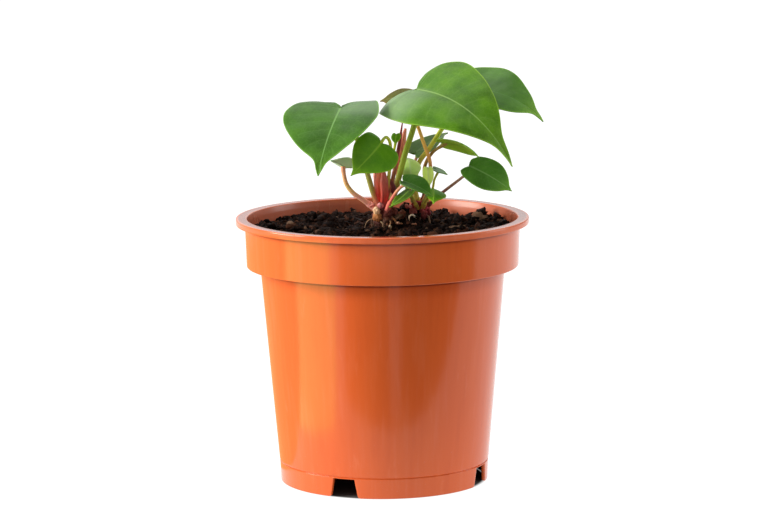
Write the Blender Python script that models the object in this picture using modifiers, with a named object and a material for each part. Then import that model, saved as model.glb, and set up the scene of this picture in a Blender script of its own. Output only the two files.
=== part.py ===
"""A young anthurium growing in a round nursery pot, modelled as separate named solids.

The pot stands on z = 0 with its axis at the origin. Lengths below are millimetres and angles are
degrees. Places on the plant are given as (right, away, up), seen from the plant's front.
"""

import math
from dataclasses import dataclass

import bmesh
import bpy
from mathutils import Matrix, Vector, noise

MM = 0.001
GAP = 0.3  # clearance between neighbours that touch
SHARP_ANGLE = 40.0
FRONT_TURN = 22.5  # how far round from -Y the front stands, so that the foot's notches face the axes

# Pot
POT_HEIGHT = 108.8
RIM_RADIUS = 60.0
RIM_INNER_RADIUS = 55.4
LIP_HEIGHT = 2.5
COLLAR_TOP_RADIUS = 56.4
COLLAR_FOOT_RADIUS = 55.7
COLLAR_FOOT_Z = 88.9
SHOULDER_RADIUS = 50.2  # outside of the body just under the collar
FOOT_LINE_Z = 8.3
FOOT_LINE_RADIUS = 43.1
FOOT_RADIUS = 42.6
FOOT_STEP = 0.5  # depth of the groove at the foot line
WALL = 1.5
RIM_DRAFT = 0.4  # how much the lip's inside widens upward
LIP_ROUNDING = 0.9
STEP_ROUNDING = 0.6
EDGE_ROUNDING = 0.4
POT_SIDES = 64

# Drainage notches in the foot
NOTCH_HEIGHT = 7.8
NOTCH_TOP_WIDTH = 9.0
NOTCH_FOOT_WIDTH = 12.2
NOTCH_BEAM = 130.0  # length of the cutting beam, more than the foot's width
NOTCH_OVERCUT = 1.0  # how far the beam reaches below the foot

# Soil
SOIL_LEVEL = 102.8
SOIL_SIDES = 56
SOIL_RINGS = 15
SOIL_CLEARANCE = 0.6  # between the soil and the pot's wall
SOIL_FOOT_CLEARANCE = 1.3  # the same at the soil's bottom edge
LUMP_HEIGHT = 1.3
LUMP_SIZE = 5.5
CRUMB_SHARE = 0.5  # size of the crumbs beside that of the lumps
CRUMB_LAYER = 100.0  # where in the noise the crumbs are read
MOUND_PLACE = (10.0, 12.0)  # right and away
MOUND_RADIUS = 15.0
MOUND_HEIGHT = 8.0
MOUND_FLARE = 1.5

# Crowns and the holes in the soil where they stand
CROWN_HEART = (0.6, 5.0, 108.0)
CROWN_RADII = (4.6, 4.4, 6.2)
SIDE_CROWN_HEART = (15.6, 9.5, 110.0)
SIDE_CROWN_RADII = (3.6, 3.2, 3.6)
CROWN_FOOT_DEPTH = 9.0
CROWN_FOOT_SIDES = 20
HOLE_TOP = 120.0  # how high the hole cutters reach
CROWN_FOOT_TOP = 102.4
CROWN_FOOT_RADIUS = 5.6
SIDE_CROWN_FOOT_TOP = 107.4
SIDE_CROWN_FOOT_RADIUS = 3.6
NUB_PLACE = (-1.9, 1.6, 109.4)
NUB_RADII = (1.9, 1.7, 2.7)
EGG_SIDES = 14
EGG_RINGS = 9
SHEATH_WALL = 0.25  # how much thicker a stalk's sheathed start is
SHEATH_FLARE = 1.25  # how much wider it is inside the crown

# Leaf blades and stalks
BLADE_THICKNESS = 0.8
BLADE_MERGE = 0.01  # points of a blade nearer than this become one
STALK_STEP = 3.4  # distance between the rings of a stalk
STALK_ROUNDNESS = 1  # bevel resolution
STALK_CURVE_STEPS = 12  # smoothing between two places of a route
ROOT_CURVE_STEPS = 3
OUTLINE_CURVE_STEPS = 6
MIDRIB_STEPS = 24
JOINT_INSET = 1.3  # how far in from the notch the stalk meets its blade
JOINT_DROP = 0.4  # how far under the blade's middle the stalk ends before it is trimmed
MIDRIB_START = 0.36  # share of the margin, from the notch, whose ribs fan out of the stalk's end
RIB_SPREAD = 1.15  # how much the ribs crowd toward the stalk's end
DROOP_POWER = 1.3  # how much of the droop is left to the tip

# Half of a flat blade's outline, from the notch round the lobe to the tip, as
# (across in half widths, back in lobe lengths, along in blade lengths).
BLADE_OUTLINE = (
    (0.00, 0.00, 0.00),
    (0.10, 0.42, 0.00),
    (0.28, 0.86, 0.00),
    (0.50, 1.00, 0.00),
    (0.73, 0.88, 0.03),
    (0.91, 0.50, 0.11),
    (1.00, 0.12, 0.23),
    (0.98, 0.00, 0.36),
    (0.86, 0.00, 0.50),
    (0.66, 0.00, 0.64),
    (0.42, 0.00, 0.77),
    (0.21, 0.00, 0.87),
    (0.08, 0.00, 0.945),
    (0.00, 0.00, 1.00),
)

DEEP_GREEN = (0.035, 0.13, 0.02)
FRESH_GREEN = (0.06, 0.24, 0.012)
GREY_GREEN = (0.10, 0.20, 0.10)
PALE_GREEN = (0.30, 0.46, 0.14)
BRONZE = (0.16, 0.11, 0.02)
OLIVE_STALK = (0.16, 0.22, 0.02)
YELLOW_STALK = (0.34, 0.38, 0.05)
TAN_STALK = (0.50, 0.24, 0.05)
ROSE_STALK = (0.52, 0.16, 0.11)
BROWN_STALK = (0.19, 0.07, 0.03)
CROWN_RED = (0.26, 0.07, 0.06)
TERRACOTTA = (0.68, 0.17, 0.045)
PEAT = (0.012, 0.008, 0.006)


@dataclass(frozen=True)
class Leaf:
    """One blade: where its stalk meets it, how it is turned, and how it is bent.

    `heading` is the way the tip points (0 right, 90 away, -90 to the front), `dip` how far it points
    down, and `bank` how far its right half is lowered. The pairs give the left and the right half, seen
    along the midrib: `half` widths, `fold` up from the midrib, further `curl` down to the margin and
    `lift` of the lobe's end; `lobe` is how far each lobe reaches back past the stalk.
    """

    name: str
    at: tuple
    heading: float
    dip: float
    bank: float
    length: float
    half: tuple
    lobe: tuple
    colour: tuple
    droop: float = 20.0
    sweep: float = 0.0
    taper: float = 1.1
    fold: tuple = (8.0, 8.0)
    curl: tuple = (10.0, 10.0)
    lift: tuple = (0.0, 0.0)
    rows: int = 13
    columns: int = 4


@dataclass(frozen=True)
class Stalk:
    """One stalk or sheath, from inside its crown out to its leaf.

    The first `rooted` millimetres belong to the crown that it grows from. The route of a stalk stops
    short of its blade, and the last stretch leads to the blade's joint.
    """

    name: str
    crown: str
    route: tuple
    radii: tuple
    colour: tuple
    rooted: float = 7.0


LEAVES = (
    Leaf("leaf_left", (-16.6, -1.0, 153.4), -110, 30, -4, 35.5, (18.0, 22.5), (6.5, 6.5), DEEP_GREEN,
         droop=34, taper=1.3, fold=(11, 3), curl=(4, 11), lift=(-30, -45), rows=18, columns=6),
    Leaf("leaf_top", (14.6, 2.0, 160.4), -42, 2, 21, 58.0, (21.5, 20.5), (3.5, 12.5), FRESH_GREEN,
         droop=66, sweep=17, taper=1.5, fold=(9, 7), curl=(0, 38), lift=(-20, -15), rows=20, columns=6),
    Leaf("leaf_rear", (34.8, 12.0, 159.9), -20, 2, 17, 36.0, (18.5, 16.5), (8.0, 8.0), DEEP_GREEN,
         droop=49, fold=(2, 9), curl=(-12, 17), lift=(10, 10), rows=16, columns=6),
    Leaf("leaf_bronze", (10.4, 10.0, 154.5), 168, 4, -29, 11.5, (6.5, 6.0), (3.0, 3.0), BRONZE,
         droop=15, rows=12),
    Leaf("leaf_front", (-0.5, -9.0, 139.7), -126, 32, -38, 20.0, (10.3, 8.6), (3.8, 3.8), FRESH_GREEN,
         droop=19, sweep=11, fold=(-4, 7), curl=(15, 9), lift=(-37, -43), rows=16),
    Leaf("leaf_low_left", (-15.3, 2.0, 129.2), -128, -30, 9, 9.8, (5.2, 5.0), (3.0, 3.0), GREY_GREEN,
         droop=21, taper=1.0, fold=(23, 16), curl=(0, 0), lift=(-10, 0), rows=12),
    Leaf("leaf_bud", (6.0, 6.0, 141.4), -105, 55, 0, 4.0, (2.0, 2.0), (1.0, 1.0), FRESH_GREEN, rows=10),
    Leaf("leaf_shade", (14.3, 18.5, 132.5), 40, -30, -3, 19.5, (6.6, 7.7), (3.0, 3.0), DEEP_GREEN,
         droop=22, sweep=-6, taper=1.2, fold=(14, 5), curl=(-9, 4), lift=(60, -8)),
    Leaf("leaf_arched", (25.6, 10.0, 137.9), -22, -3, -26, 17.5, (6.8, 6.6), (2.6, 2.6), DEEP_GREEN,
         droop=52, sweep=-9, taper=0.6, fold=(0, -2), curl=(30, 9), lift=(7, -30)),
    Leaf("leaf_right", (36.2, 2.0, 128.7), -29, 19, 25, 21.0, (7.6, 7.4), (2.6, 2.6), DEEP_GREEN,
         droop=13, sweep=6, taper=0.75, fold=(18, -4), curl=(0, 17), lift=(70, -15), rows=16),
    Leaf("leaf_curled", (10.0, 8.0, 125.6), -48, -75, 0, 14.0, (4.8, 4.2), (1.6, 1.6), PALE_GREEN,
         droop=175, fold=(-5, -5), curl=(45, 45), rows=14),
    Leaf("leaf_pale", (18.8, 2.6, 127.6), -80, 68, 0, 7.6, (2.5, 2.3), (1.4, 1.4), PALE_GREEN,
         droop=8, fold=(-10, -10), curl=(20, 20)),
    Leaf("leaf_slim", (22.2, 13.0, 126.2), -18, 23, 1, 5.4, (3.5, 3.4), (2.0, 2.0), DEEP_GREEN,
         droop=-8, rows=10),
    Leaf("leaf_low_front", (9.2, -5.0, 123.5), -21, 13, 22, 12.2, (5.4, 5.0), (2.2, 2.2), DEEP_GREEN,
         droop=25, taper=0.8, fold=(17, 22), curl=(7, 6), lift=(27, 60)),
    Leaf("leaf_low_bright", (10.7, -4.5, 119.3), -144, 34, 0, 11.0, (4.3, 4.0), (2.0, 2.0), FRESH_GREEN,
         droop=-13, fold=(7, 8), curl=(3, 11)),
    Leaf("leaf_folded", (20.8, -2.0, 120.0), -87, 12, -3, 11.2, (5.7, 3.6), (2.0, 2.0), FRESH_GREEN,
         droop=29, sweep=5, taper=1.2, fold=(-11, -12), curl=(17, 31), lift=(-45, -13)),
)

STALKS = (
    Stalk("stalk_left", "crown",
          ((0.0, 4.5, 109), (-3.4, 2.6, 117.5), (-5.3, 1.6, 124), (-8.2, 0.6, 135), (-12.6, -0.2, 147)),
          (1.15, 0.85), OLIVE_STALK),
    Stalk("stalk_low_left", "crown",
          ((0.0, 4.5, 109.6), (-4.8, 4.0, 113), (-8.0, 3.0, 115.4), (-12.0, 2.2, 118.4),
           (-14.8, 2.0, 122.6)), (1.15, 0.8), ROSE_STALK),
    Stalk("stalk_front", "crown",
          ((0.6, 4.5, 109), (1.7, 1.2, 117), (2.9, -0.6, 126), (3.5, -1.6, 135), (3.3, -3.0, 139.8),
           (1.5, -5.4, 142.0)), (0.8, 0.5), YELLOW_STALK),
    Stalk("stalk_top", "crown",
          ((1.2, 5.2, 109), (4.6, 4.0, 117), (7.0, 3.2, 125), (9.6, 3.0, 134.5), (12.6, 3.0, 143.5),
           (15.0, 2.6, 152.5)), (1.35, 1.1), OLIVE_STALK),
    Stalk("stalk_low_front", "crown",
          ((1.4, 2.4, 109.5), (3.6, -1.4, 115.4), (7.0, -4.2, 120.8)), (0.8, 0.6),
          ROSE_STALK),
    Stalk("sheath_rose", "crown",
          ((0.2, 6.5, 109), (-1.4, 6.8, 118), (-2.4, 6.6, 126.5)), (1.9, 0.7), ROSE_STALK),
    Stalk("sheath_brown", "crown",
          ((1.8, 2.8, 110), (4.3, 1.5, 116.4), (4.5, 1.8, 119.6), (0.8, 3.0, 126.6)), (0.7, 0.35),
          BROWN_STALK),
    Stalk("sheath_dark", "crown",
          ((1.4, 6.4, 109), (3.3, 7.0, 118), (5.0, 7.8, 126), (6.9, 8.0, 136), (8.8, 8.0, 148)),
          (1.3, 0.35), BROWN_STALK),
    Stalk("sheath_pink", "crown",
          ((2.2, 7.6, 109), (6.2, 10.4, 119), (7.0, 10.6, 128), (8.2, 10.2, 136), (9.8, 9.6, 143.2)),
          (1.4, 0.5), ROSE_STALK),
    Stalk("stalk_bud", "crown",
          ((0.8, 8.0, 109), (1.4, 10.2, 118), (3.8, 8.8, 129), (5.6, 6.8, 138)),
          (0.7, 0.5), YELLOW_STALK),
    Stalk("stalk_rear", "side_crown",
          ((15.2, 10.0, 110), (13.6, 12.6, 119), (15.0, 11.8, 128.6), (20.0, 11.0, 136),
           (28.0, 12.0, 148)), (1.1, 0.85), YELLOW_STALK, rooted=5.0),
    Stalk("stalk_bronze", "side_crown",
          ((15.8, 9.6, 110), (18.8, 9.4, 119), (19.9, 8.2, 129), (17.4, 7.6, 137.4), (13.6, 8.4, 148)),
          (0.8, 0.7), TAN_STALK, rooted=5.0),
    Stalk("stalk_shade", "side_crown",
          ((14.6, 10.8, 110), (11.0, 16.0, 119.6), (12.8, 18.4, 126.6)), (0.8, 0.6),
          BROWN_STALK, rooted=5.0),
    Stalk("stalk_arched", "side_crown",
          ((16.0, 10.4, 110), (17.8, 14.4, 119), (17.6, 14.6, 127), (21.0, 12.0, 133.6)),
          (0.9, 0.65), BROWN_STALK, rooted=5.0),
    Stalk("stalk_right", "side_crown",
          ((16.2, 9.2, 110), (20.6, 7.6, 113.6), (25.0, 6.0, 117.8), (31.6, 3.6, 123.2)),
          (0.75, 0.55), BROWN_STALK, rooted=5.0),
    Stalk("stalk_slim", "side_crown",
          ((16.6, 10.4, 110), (20.6, 13.2, 117.6), (21.6, 13.4, 122)), (0.6, 0.45),
          YELLOW_STALK, rooted=5.0),
    Stalk("stalk_pale", "side_crown",
          ((16.0, 8.8, 110), (18.2, 5.0, 117.4), (18.8, 3.2, 123)), (0.6, 0.5),
          PALE_GREEN, rooted=5.0),
    Stalk("stalk_curled", "side_crown",
          ((14.4, 8.8, 110), (11.6, 8.0, 116.4), (10.0, 7.8, 121)), (0.8, 0.6),
          PALE_GREEN, rooted=5.0),
    Stalk("stalk_folded", "side_crown",
          ((16.0, 8.2, 110), (18.4, 3.2, 115.4), (20.2, -0.6, 118.4)), (0.7, 0.5),
          YELLOW_STALK, rooted=5.0),
    Stalk("stalk_low_bright", "side_crown",
          ((14.8, 8.2, 110), (12.8, 2.0, 115.6), (11.6, -2.4, 118.0)), (0.65, 0.5),
          YELLOW_STALK, rooted=5.0),
)

# Roots that come out of the crown and dive back into the soil, as (right, away, up) places.
ROOTS = (
    ((-2.0, 4.0, 108.5), (-4.8, 3.4, 107.6), (-3.6, 3.8, 101.5)),
    ((0.0, 2.0, 108.0), (0.9, 0.2, 106.6), (0.8, 1.2, 101.5)),
    ((2.4, 2.4, 108.5), (4.6, 2.0, 107.0), (3.6, 2.8, 101.5)),
)
ROOT_RADII = (0.9, 0.55)


def seen(place):
    """A (right, away, up) place in millimetres, as a point in metres in the part's own frame."""
    return Matrix.Rotation(math.radians(FRONT_TURN), 3, "Z") @ Vector(place) * MM


def smooth_line(points, steps):
    """Points along a Catmull-Rom curve, `steps` for each stretch between two of the given points."""
    ends = [2 * points[0] - points[1], *points, 2 * points[-1] - points[-2]]
    line = []
    for before, start, end, after in zip(ends, ends[1:], ends[2:], ends[3:]):
        for step in range(steps):
            t = step / steps
            line.append(0.5 * (2 * start + (end - before) * t
                               + (2 * before - 5 * start + 4 * end - after) * t * t
                               + (3 * start - before - 3 * end + after) * t ** 3))
    return line + [points[-1]]


def along(line, distance):
    """The point at a distance along a line of points."""
    for start, end in zip(line, line[1:]):
        length = (end - start).length
        if distance <= length:
            return start.lerp(end, distance / length)
        distance -= length
    return line[-1]


def finish(name, colour, roughness):
    """A plain material for one sub-part."""
    material = bpy.data.materials.new(name)
    material.use_nodes = True
    shader = material.node_tree.nodes["Principled BSDF"]
    shader.inputs["Base Color"].default_value = (*colour, 1.0)
    shader.inputs["Roughness"].default_value = roughness
    shader.inputs["Metallic"].default_value = 0.0
    return material


def add_object(name, mesh, collection, colour=None, roughness=0.5):
    """Puts a mesh in a collection as a smooth-shaded object with its own material."""
    obj = bpy.data.objects.new(name, mesh)
    collection.objects.link(obj)
    mesh.shade_smooth()
    mesh.set_sharp_from_angle(angle=math.radians(SHARP_ANGLE))
    if colour:
        mesh.materials.append(finish(name, colour, roughness))
    return obj


def add_cutter(name, mesh, cutters):
    """Puts a mesh among the cutters, which are guides and not parts of the plant."""
    cutter = add_object(name, mesh, cutters)
    cutter.hide_render = True
    cutter.display_type = "WIRE"
    return cutter


def mesh_of(bm, name, closed=True):
    """Ends a bmesh as a mesh whose faces point out, or keep their way where the mesh isn't closed."""
    if closed:
        bmesh.ops.recalc_face_normals(bm, faces=bm.faces)
    mesh = bpy.data.meshes.new(name)
    bm.to_mesh(mesh)
    bm.free()
    return mesh


def apply_modifiers(obj):
    """Turns an object's modifiers into its own mesh."""
    depsgraph = bpy.context.evaluated_depsgraph_get()
    mesh = bpy.data.meshes.new_from_object(obj.evaluated_get(depsgraph))
    obj.modifiers.clear()
    obj.data = mesh


def join_all(obj, others):
    """Joins a collection's objects into one body with a Boolean union and removes them."""
    union = obj.modifiers.new("Union", "BOOLEAN")
    union.operation = "UNION"
    union.operand_type = "COLLECTION"
    union.collection = others
    union.solver = "EXACT"
    apply_modifiers(obj)
    for other in list(others.objects):
        bpy.data.objects.remove(other)
    bpy.data.collections.remove(others)


def cut_away(obj, cutter, solver="EXACT"):
    """Cuts one object out of another with a live Boolean."""
    cut = obj.modifiers.new("Cut " + cutter.name, "BOOLEAN")
    cut.operation = "DIFFERENCE"
    cut.object = cutter
    cut.solver = solver


def rounded(corners, steps=2):
    """A profile whose corners, given as (radius, height, rounding), are turned into short curves."""
    points = []
    for index, (radius, height, rounding) in enumerate(corners):
        corner = Vector((radius, height))
        if not rounding:
            points.append(corner)
            continue
        ends = []
        for neighbour in (corners[index - 1], corners[index + 1]):
            leg = Vector(neighbour[:2]) - corner
            ends.append(corner + leg.normalized() * min(rounding, leg.length / 2))
        for step in range(steps + 1):
            t = step / steps
            points.append(ends[0] * (1 - t) ** 2 + corner * 2 * t * (1 - t) + ends[1] * t * t)
    return points


def turned_mesh(name, profile, sides):
    """A profile of (radius, height) points turned about the Z axis with a Screw modifier."""
    mesh = bpy.data.meshes.new(name)
    edges = [(index, index + 1) for index in range(len(profile) - 1)]
    mesh.from_pydata([(radius * MM, 0, height * MM) for radius, height in profile], edges, [])
    turned = bpy.data.objects.new(name, mesh)
    bpy.context.scene.collection.objects.link(turned)
    screw = turned.modifiers.new("Screw", "SCREW")
    screw.angle = math.tau
    screw.steps = sides
    screw.render_steps = sides
    screw.use_merge_vertices = True
    screw.merge_threshold = 0.00001
    apply_modifiers(turned)
    mesh = turned.data
    bpy.data.objects.remove(turned)
    return mesh


def body_radius(height):
    """Outside radius of the tapered body at a height."""
    share = (height - FOOT_LINE_Z) / (COLLAR_FOOT_Z - FOOT_LINE_Z)
    return FOOT_LINE_RADIUS + (SHOULDER_RADIUS - FOOT_LINE_RADIUS) * share


def collar_radius(height):
    """Outside radius of the collar at a height."""
    share = (height - COLLAR_FOOT_Z) / (POT_HEIGHT - COLLAR_FOOT_Z)
    return COLLAR_FOOT_RADIUS + (COLLAR_TOP_RADIUS - COLLAR_FOOT_RADIUS) * share


def make_pot(parts, cutters):
    """The pot: body, stepped collar and lip, with a raised floor in a notched foot."""
    floor_top = FOOT_LINE_Z + WALL
    shelf_top = COLLAR_FOOT_Z + WALL
    lip_foot = POT_HEIGHT - LIP_HEIGHT
    profile = rounded((
        (0, floor_top, 0),
        (body_radius(floor_top) - WALL, floor_top, 0),
        (body_radius(shelf_top) - WALL, shelf_top, 0),
        (COLLAR_FOOT_RADIUS - WALL, shelf_top, 0),
        (RIM_INNER_RADIUS - RIM_DRAFT, lip_foot, 0),
        (RIM_INNER_RADIUS, POT_HEIGHT, LIP_ROUNDING),
        (RIM_RADIUS, POT_HEIGHT, LIP_ROUNDING),
        (RIM_RADIUS, lip_foot, STEP_ROUNDING),
        (collar_radius(lip_foot), lip_foot, EDGE_ROUNDING),
        (COLLAR_FOOT_RADIUS, COLLAR_FOOT_Z, STEP_ROUNDING),
        (SHOULDER_RADIUS, COLLAR_FOOT_Z, STEP_ROUNDING),
        (FOOT_LINE_RADIUS, FOOT_LINE_Z + FOOT_STEP, EDGE_ROUNDING),
        (FOOT_LINE_RADIUS - FOOT_STEP, FOOT_LINE_Z, 0),
        (FOOT_LINE_RADIUS - FOOT_STEP / 4, FOOT_LINE_Z - FOOT_STEP, 0),
        (FOOT_RADIUS, 0, EDGE_ROUNDING),
        (FOOT_RADIUS - WALL, 0, 0),
        (FOOT_RADIUS - WALL, FOOT_LINE_Z, 0),
        (0, FOOT_LINE_Z, 0),
    ))
    pot = add_object("pot", turned_mesh("pot", profile, POT_SIDES), parts, TERRACOTTA, 0.3)
    for axis, turn in (("x", 90), ("y", 0)):
        cut_away(pot, make_notch_cutter("notches_" + axis, turn, cutters))


def make_notch_cutter(name, turn, cutters):
    """A beam across the whole foot that cuts two facing notches, narrower at the top."""
    bm = bmesh.new()
    bmesh.ops.create_cube(bm, size=1.0)
    for vert in bm.verts:
        width = NOTCH_TOP_WIDTH if vert.co.z > 0 else NOTCH_FOOT_WIDTH
        height = NOTCH_HEIGHT if vert.co.z > 0 else -NOTCH_OVERCUT
        vert.co = Vector((vert.co.x * width, vert.co.y * NOTCH_BEAM, height)) * MM
    bmesh.ops.rotate(bm, verts=bm.verts, matrix=Matrix.Rotation(math.radians(turn), 3, "Z"))
    return add_cutter(name, mesh_of(bm, name), cutters)


def soil_height(point):
    """Height of the soil's surface, in millimetres, over a point of the part's frame in metres."""
    place = Matrix.Rotation(math.radians(-FRONT_TURN), 3, "Z") @ Vector((*point[:2], 0)) / MM
    distance = math.dist(place[:2], MOUND_PLACE) / MOUND_RADIUS
    mound = MOUND_HEIGHT * max(0.0, 1 - distance * distance) ** MOUND_FLARE
    lumps = noise.noise(place / LUMP_SIZE) * LUMP_HEIGHT
    crumbs = noise.noise((place + Vector((0, 0, CRUMB_LAYER))) / (LUMP_SIZE * CRUMB_SHARE))
    return SOIL_LEVEL + mound + lumps + crumbs * LUMP_HEIGHT * CRUMB_SHARE


def make_soil(parts, cutters):
    """The soil: it fills the pot, and its lumpy top has two plain holes where the crowns stand."""
    inside = WALL + SOIL_CLEARANCE
    edge = collar_radius(SOIL_LEVEL) - inside
    floor_top = FOOT_LINE_Z + WALL + GAP
    shelf_top = COLLAR_FOOT_Z + WALL + GAP
    top = [(edge * ring / SOIL_RINGS, SOIL_LEVEL) for ring in range(SOIL_RINGS + 1)]
    side = [
        (COLLAR_FOOT_RADIUS - inside, shelf_top),
        (body_radius(shelf_top) - inside, shelf_top),
        (body_radius(floor_top) - WALL - SOIL_FOOT_CLEARANCE, floor_top),
        (0, floor_top),
    ]
    mesh = turned_mesh("soil", top + side, SOIL_SIDES)
    for vert in mesh.vertices:
        if abs(vert.co.z - SOIL_LEVEL * MM) < 0.01 * MM:
            vert.co.z = soil_height(vert.co) * MM
    soil = add_object("soil", mesh, parts, PEAT, 0.95)
    for name, heart, radius in (
        ("crown_hole", CROWN_HEART, CROWN_FOOT_RADIUS),
        ("side_crown_hole", SIDE_CROWN_HEART, SIDE_CROWN_FOOT_RADIUS),
    ):
        bm = bmesh.new()
        add_cylinder(bm, heart, radius + GAP, SOIL_LEVEL - CROWN_FOOT_DEPTH - GAP, HOLE_TOP)
        cut_away(soil, add_cutter(name, mesh_of(bm, name), cutters))


def add_cylinder(bm, heart, radius, low, high):
    """An upright cylinder through a crown's heart, between two heights."""
    centre = seen((heart[0], heart[1], (low + high) / 2))
    bmesh.ops.create_cone(bm, cap_ends=True, segments=CROWN_FOOT_SIDES, radius1=radius * MM,
                          radius2=radius * MM, depth=(high - low) * MM,
                          matrix=Matrix.Translation(centre))


def lump_mesh(name, heart, radii):
    """An egg-shaped lump."""
    bm = bmesh.new()
    bmesh.ops.create_uvsphere(bm, u_segments=EGG_SIDES, v_segments=EGG_RINGS, radius=MM)
    turn = Matrix.Rotation(math.radians(FRONT_TURN), 4, "Z")
    bmesh.ops.transform(bm, verts=bm.verts,
                        matrix=Matrix.Translation(seen(heart)) @ turn @ Matrix.Diagonal((*radii, 1)))
    return mesh_of(bm, name)


def tube_mesh(name, line, radii):
    """A tapered tube along a line of points, from a curve with filled caps."""
    curve = bpy.data.curves.new(name, "CURVE")
    curve.dimensions = "3D"
    curve.bevel_depth = MM
    curve.bevel_resolution = STALK_ROUNDNESS
    curve.use_fill_caps = True
    spline = curve.splines.new("POLY")
    spline.points.add(len(line) - 1)
    for index, (point, place) in enumerate(zip(spline.points, line)):
        share = index / (len(line) - 1)
        point.co = (*place, 1)
        point.radius = radii[0] + (radii[1] - radii[0]) * share
    obj = bpy.data.objects.new(name, curve)
    bpy.context.scene.collection.objects.link(obj)
    depsgraph = bpy.context.evaluated_depsgraph_get()
    bm = bmesh.new()
    bm.from_mesh(bpy.data.meshes.new_from_object(obj.evaluated_get(depsgraph)))
    bmesh.ops.remove_doubles(bm, verts=bm.verts, dist=0.001 * MM)
    bpy.data.objects.remove(obj)
    return mesh_of(bm, name)


def leaf_of(stalk):
    """The leaf that a stalk carries, or nothing for a sheath."""
    return next((leaf for leaf in LEAVES if leaf.name == stalk.name.replace("stalk", "leaf")), None)


def stalk_lines(stalk):
    """The stretch of a stalk that its crown keeps and the stretch that is free, with their radii."""
    route = [seen(place) for place in stalk.route]
    leaf = leaf_of(stalk)
    if leaf:
        route.append(placed(leaf, Vector((0, JOINT_INSET, -JOINT_DROP))))
    fine = smooth_line(route, STALK_CURVE_STEPS)
    length = sum((end - start).length for start, end in zip(fine, fine[1:]))
    rooted = stalk.rooted * MM
    root_count = max(2, round(rooted / (STALK_STEP * MM)))
    free_count = max(3, round((length - rooted) / (STALK_STEP * MM)))
    root = [along(fine, rooted * i / root_count) for i in range(root_count + 1)]
    start = rooted + GAP * MM
    free = [along(fine, start + (length - start) * i / free_count) for i in range(free_count + 1)]
    return root, free


def make_crown(name, heart, radii, foot_radius, foot_top, extras, parts):
    """A crown: its foot in the soil, its lump and the sheathed starts of its stalks, as one body."""
    bm = bmesh.new()
    add_cylinder(bm, heart, foot_radius, SOIL_LEVEL - CROWN_FOOT_DEPTH, foot_top)
    crown = add_object(name, mesh_of(bm, name), parts, CROWN_RED, 0.6)
    joined = bpy.data.collections.new(name + "_joined")
    bpy.context.scene.collection.children.link(joined)
    add_object(name + "_lump", lump_mesh(name, heart, radii), joined)
    for index, mesh in enumerate(extras):
        add_object(f"{name}_extra_{index}", mesh, joined)
    for stalk in STALKS:
        if stalk.crown == name:
            radius = stalk.radii[0]
            sheath = (radius * SHEATH_FLARE + SHEATH_WALL, radius + SHEATH_WALL)
            add_object(stalk.name + "_start", tube_mesh(stalk.name, stalk_lines(stalk)[0], sheath), joined)
    join_all(crown, joined)


def make_crowns(parts):
    """The main crown with its pale nub and roots, and the smaller crown on the mound."""
    extras = [lump_mesh("nub", NUB_PLACE, NUB_RADII)]
    for root in ROOTS:
        line = smooth_line([seen(place) for place in root], ROOT_CURVE_STEPS)
        extras.append(tube_mesh("root", line, ROOT_RADII))
    make_crown("crown", CROWN_HEART, CROWN_RADII, CROWN_FOOT_RADIUS, CROWN_FOOT_TOP, extras, parts)
    make_crown("side_crown", SIDE_CROWN_HEART, SIDE_CROWN_RADII, SIDE_CROWN_FOOT_RADIUS,
               SIDE_CROWN_FOOT_TOP, [], parts)


def turned_by(distance, start, total, span):
    """How far out and up a line reaches that starts at one slope and turns evenly over its span."""
    angle = math.radians(start)
    rate = math.radians(total) / span
    if abs(rate) < 1e-6:
        return distance * math.cos(angle), distance * math.sin(angle)
    end = angle + rate * distance
    return (math.sin(end) - math.sin(angle)) / rate, (math.cos(angle) - math.cos(end)) / rate


def midrib_point(leaf, distance):
    """How far along and up the midrib is at a distance from the stalk, and its slope in radians."""
    droop = math.radians(leaf.droop)
    reach, drop = 0.0, 0.0
    for step in range(MIDRIB_STEPS):
        slope = droop * ((step + 0.5) / MIDRIB_STEPS * distance / leaf.length) ** DROOP_POWER
        reach += math.cos(slope) * distance / MIDRIB_STEPS
        drop += math.sin(slope) * distance / MIDRIB_STEPS
    return reach, -drop, droop * (distance / leaf.length) ** DROOP_POWER


def blade_point(leaf, edge, share, side):
    """A point of the bent blade, from a point of its outline and the share of the way out to it.

    `edge` is (place along the margin from 0 to 1, outline point) and `side` is 0 for the left half and
    1 for the right half.
    """
    place, outline = edge
    half = leaf.half[side]
    start = max(0.0, (place - MIDRIB_START) / (1 - MIDRIB_START)) ** RIB_SPREAD * leaf.length
    margin = max(0.0, outline.z) ** leaf.taper * leaf.length - outline.y * leaf.lobe[side]
    across = share * outline.x * half
    distance = start + share * (margin - start)
    out, up = turned_by(across, leaf.fold[side], -leaf.curl[side], half)
    if distance >= 0:
        reach, rise, slope = midrib_point(leaf, distance)
    else:
        back, rise = turned_by(-distance, 0.0, leaf.lift[side], leaf.lobe[side])
        reach, slope = -back, math.radians(leaf.lift[side]) * -distance / leaf.lobe[side]
    sideways = math.sin(math.radians(leaf.sweep) * reach / leaf.length) * reach / 2
    out = out if side else -out
    return Vector((out + sideways, reach + up * math.sin(slope), rise + up * math.cos(slope)))


def placed(leaf, point):
    """A point of a blade, in millimetres from its notch, as a point in metres in the part's frame."""
    turn = (
        Matrix.Rotation(math.radians(FRONT_TURN + leaf.heading - 90), 3, "Z")
        @ Matrix.Rotation(math.radians(-leaf.dip), 3, "X")
        @ Matrix.Rotation(math.radians(leaf.bank), 3, "Y")
    )
    return seen(leaf.at) + turn @ point * MM


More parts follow.
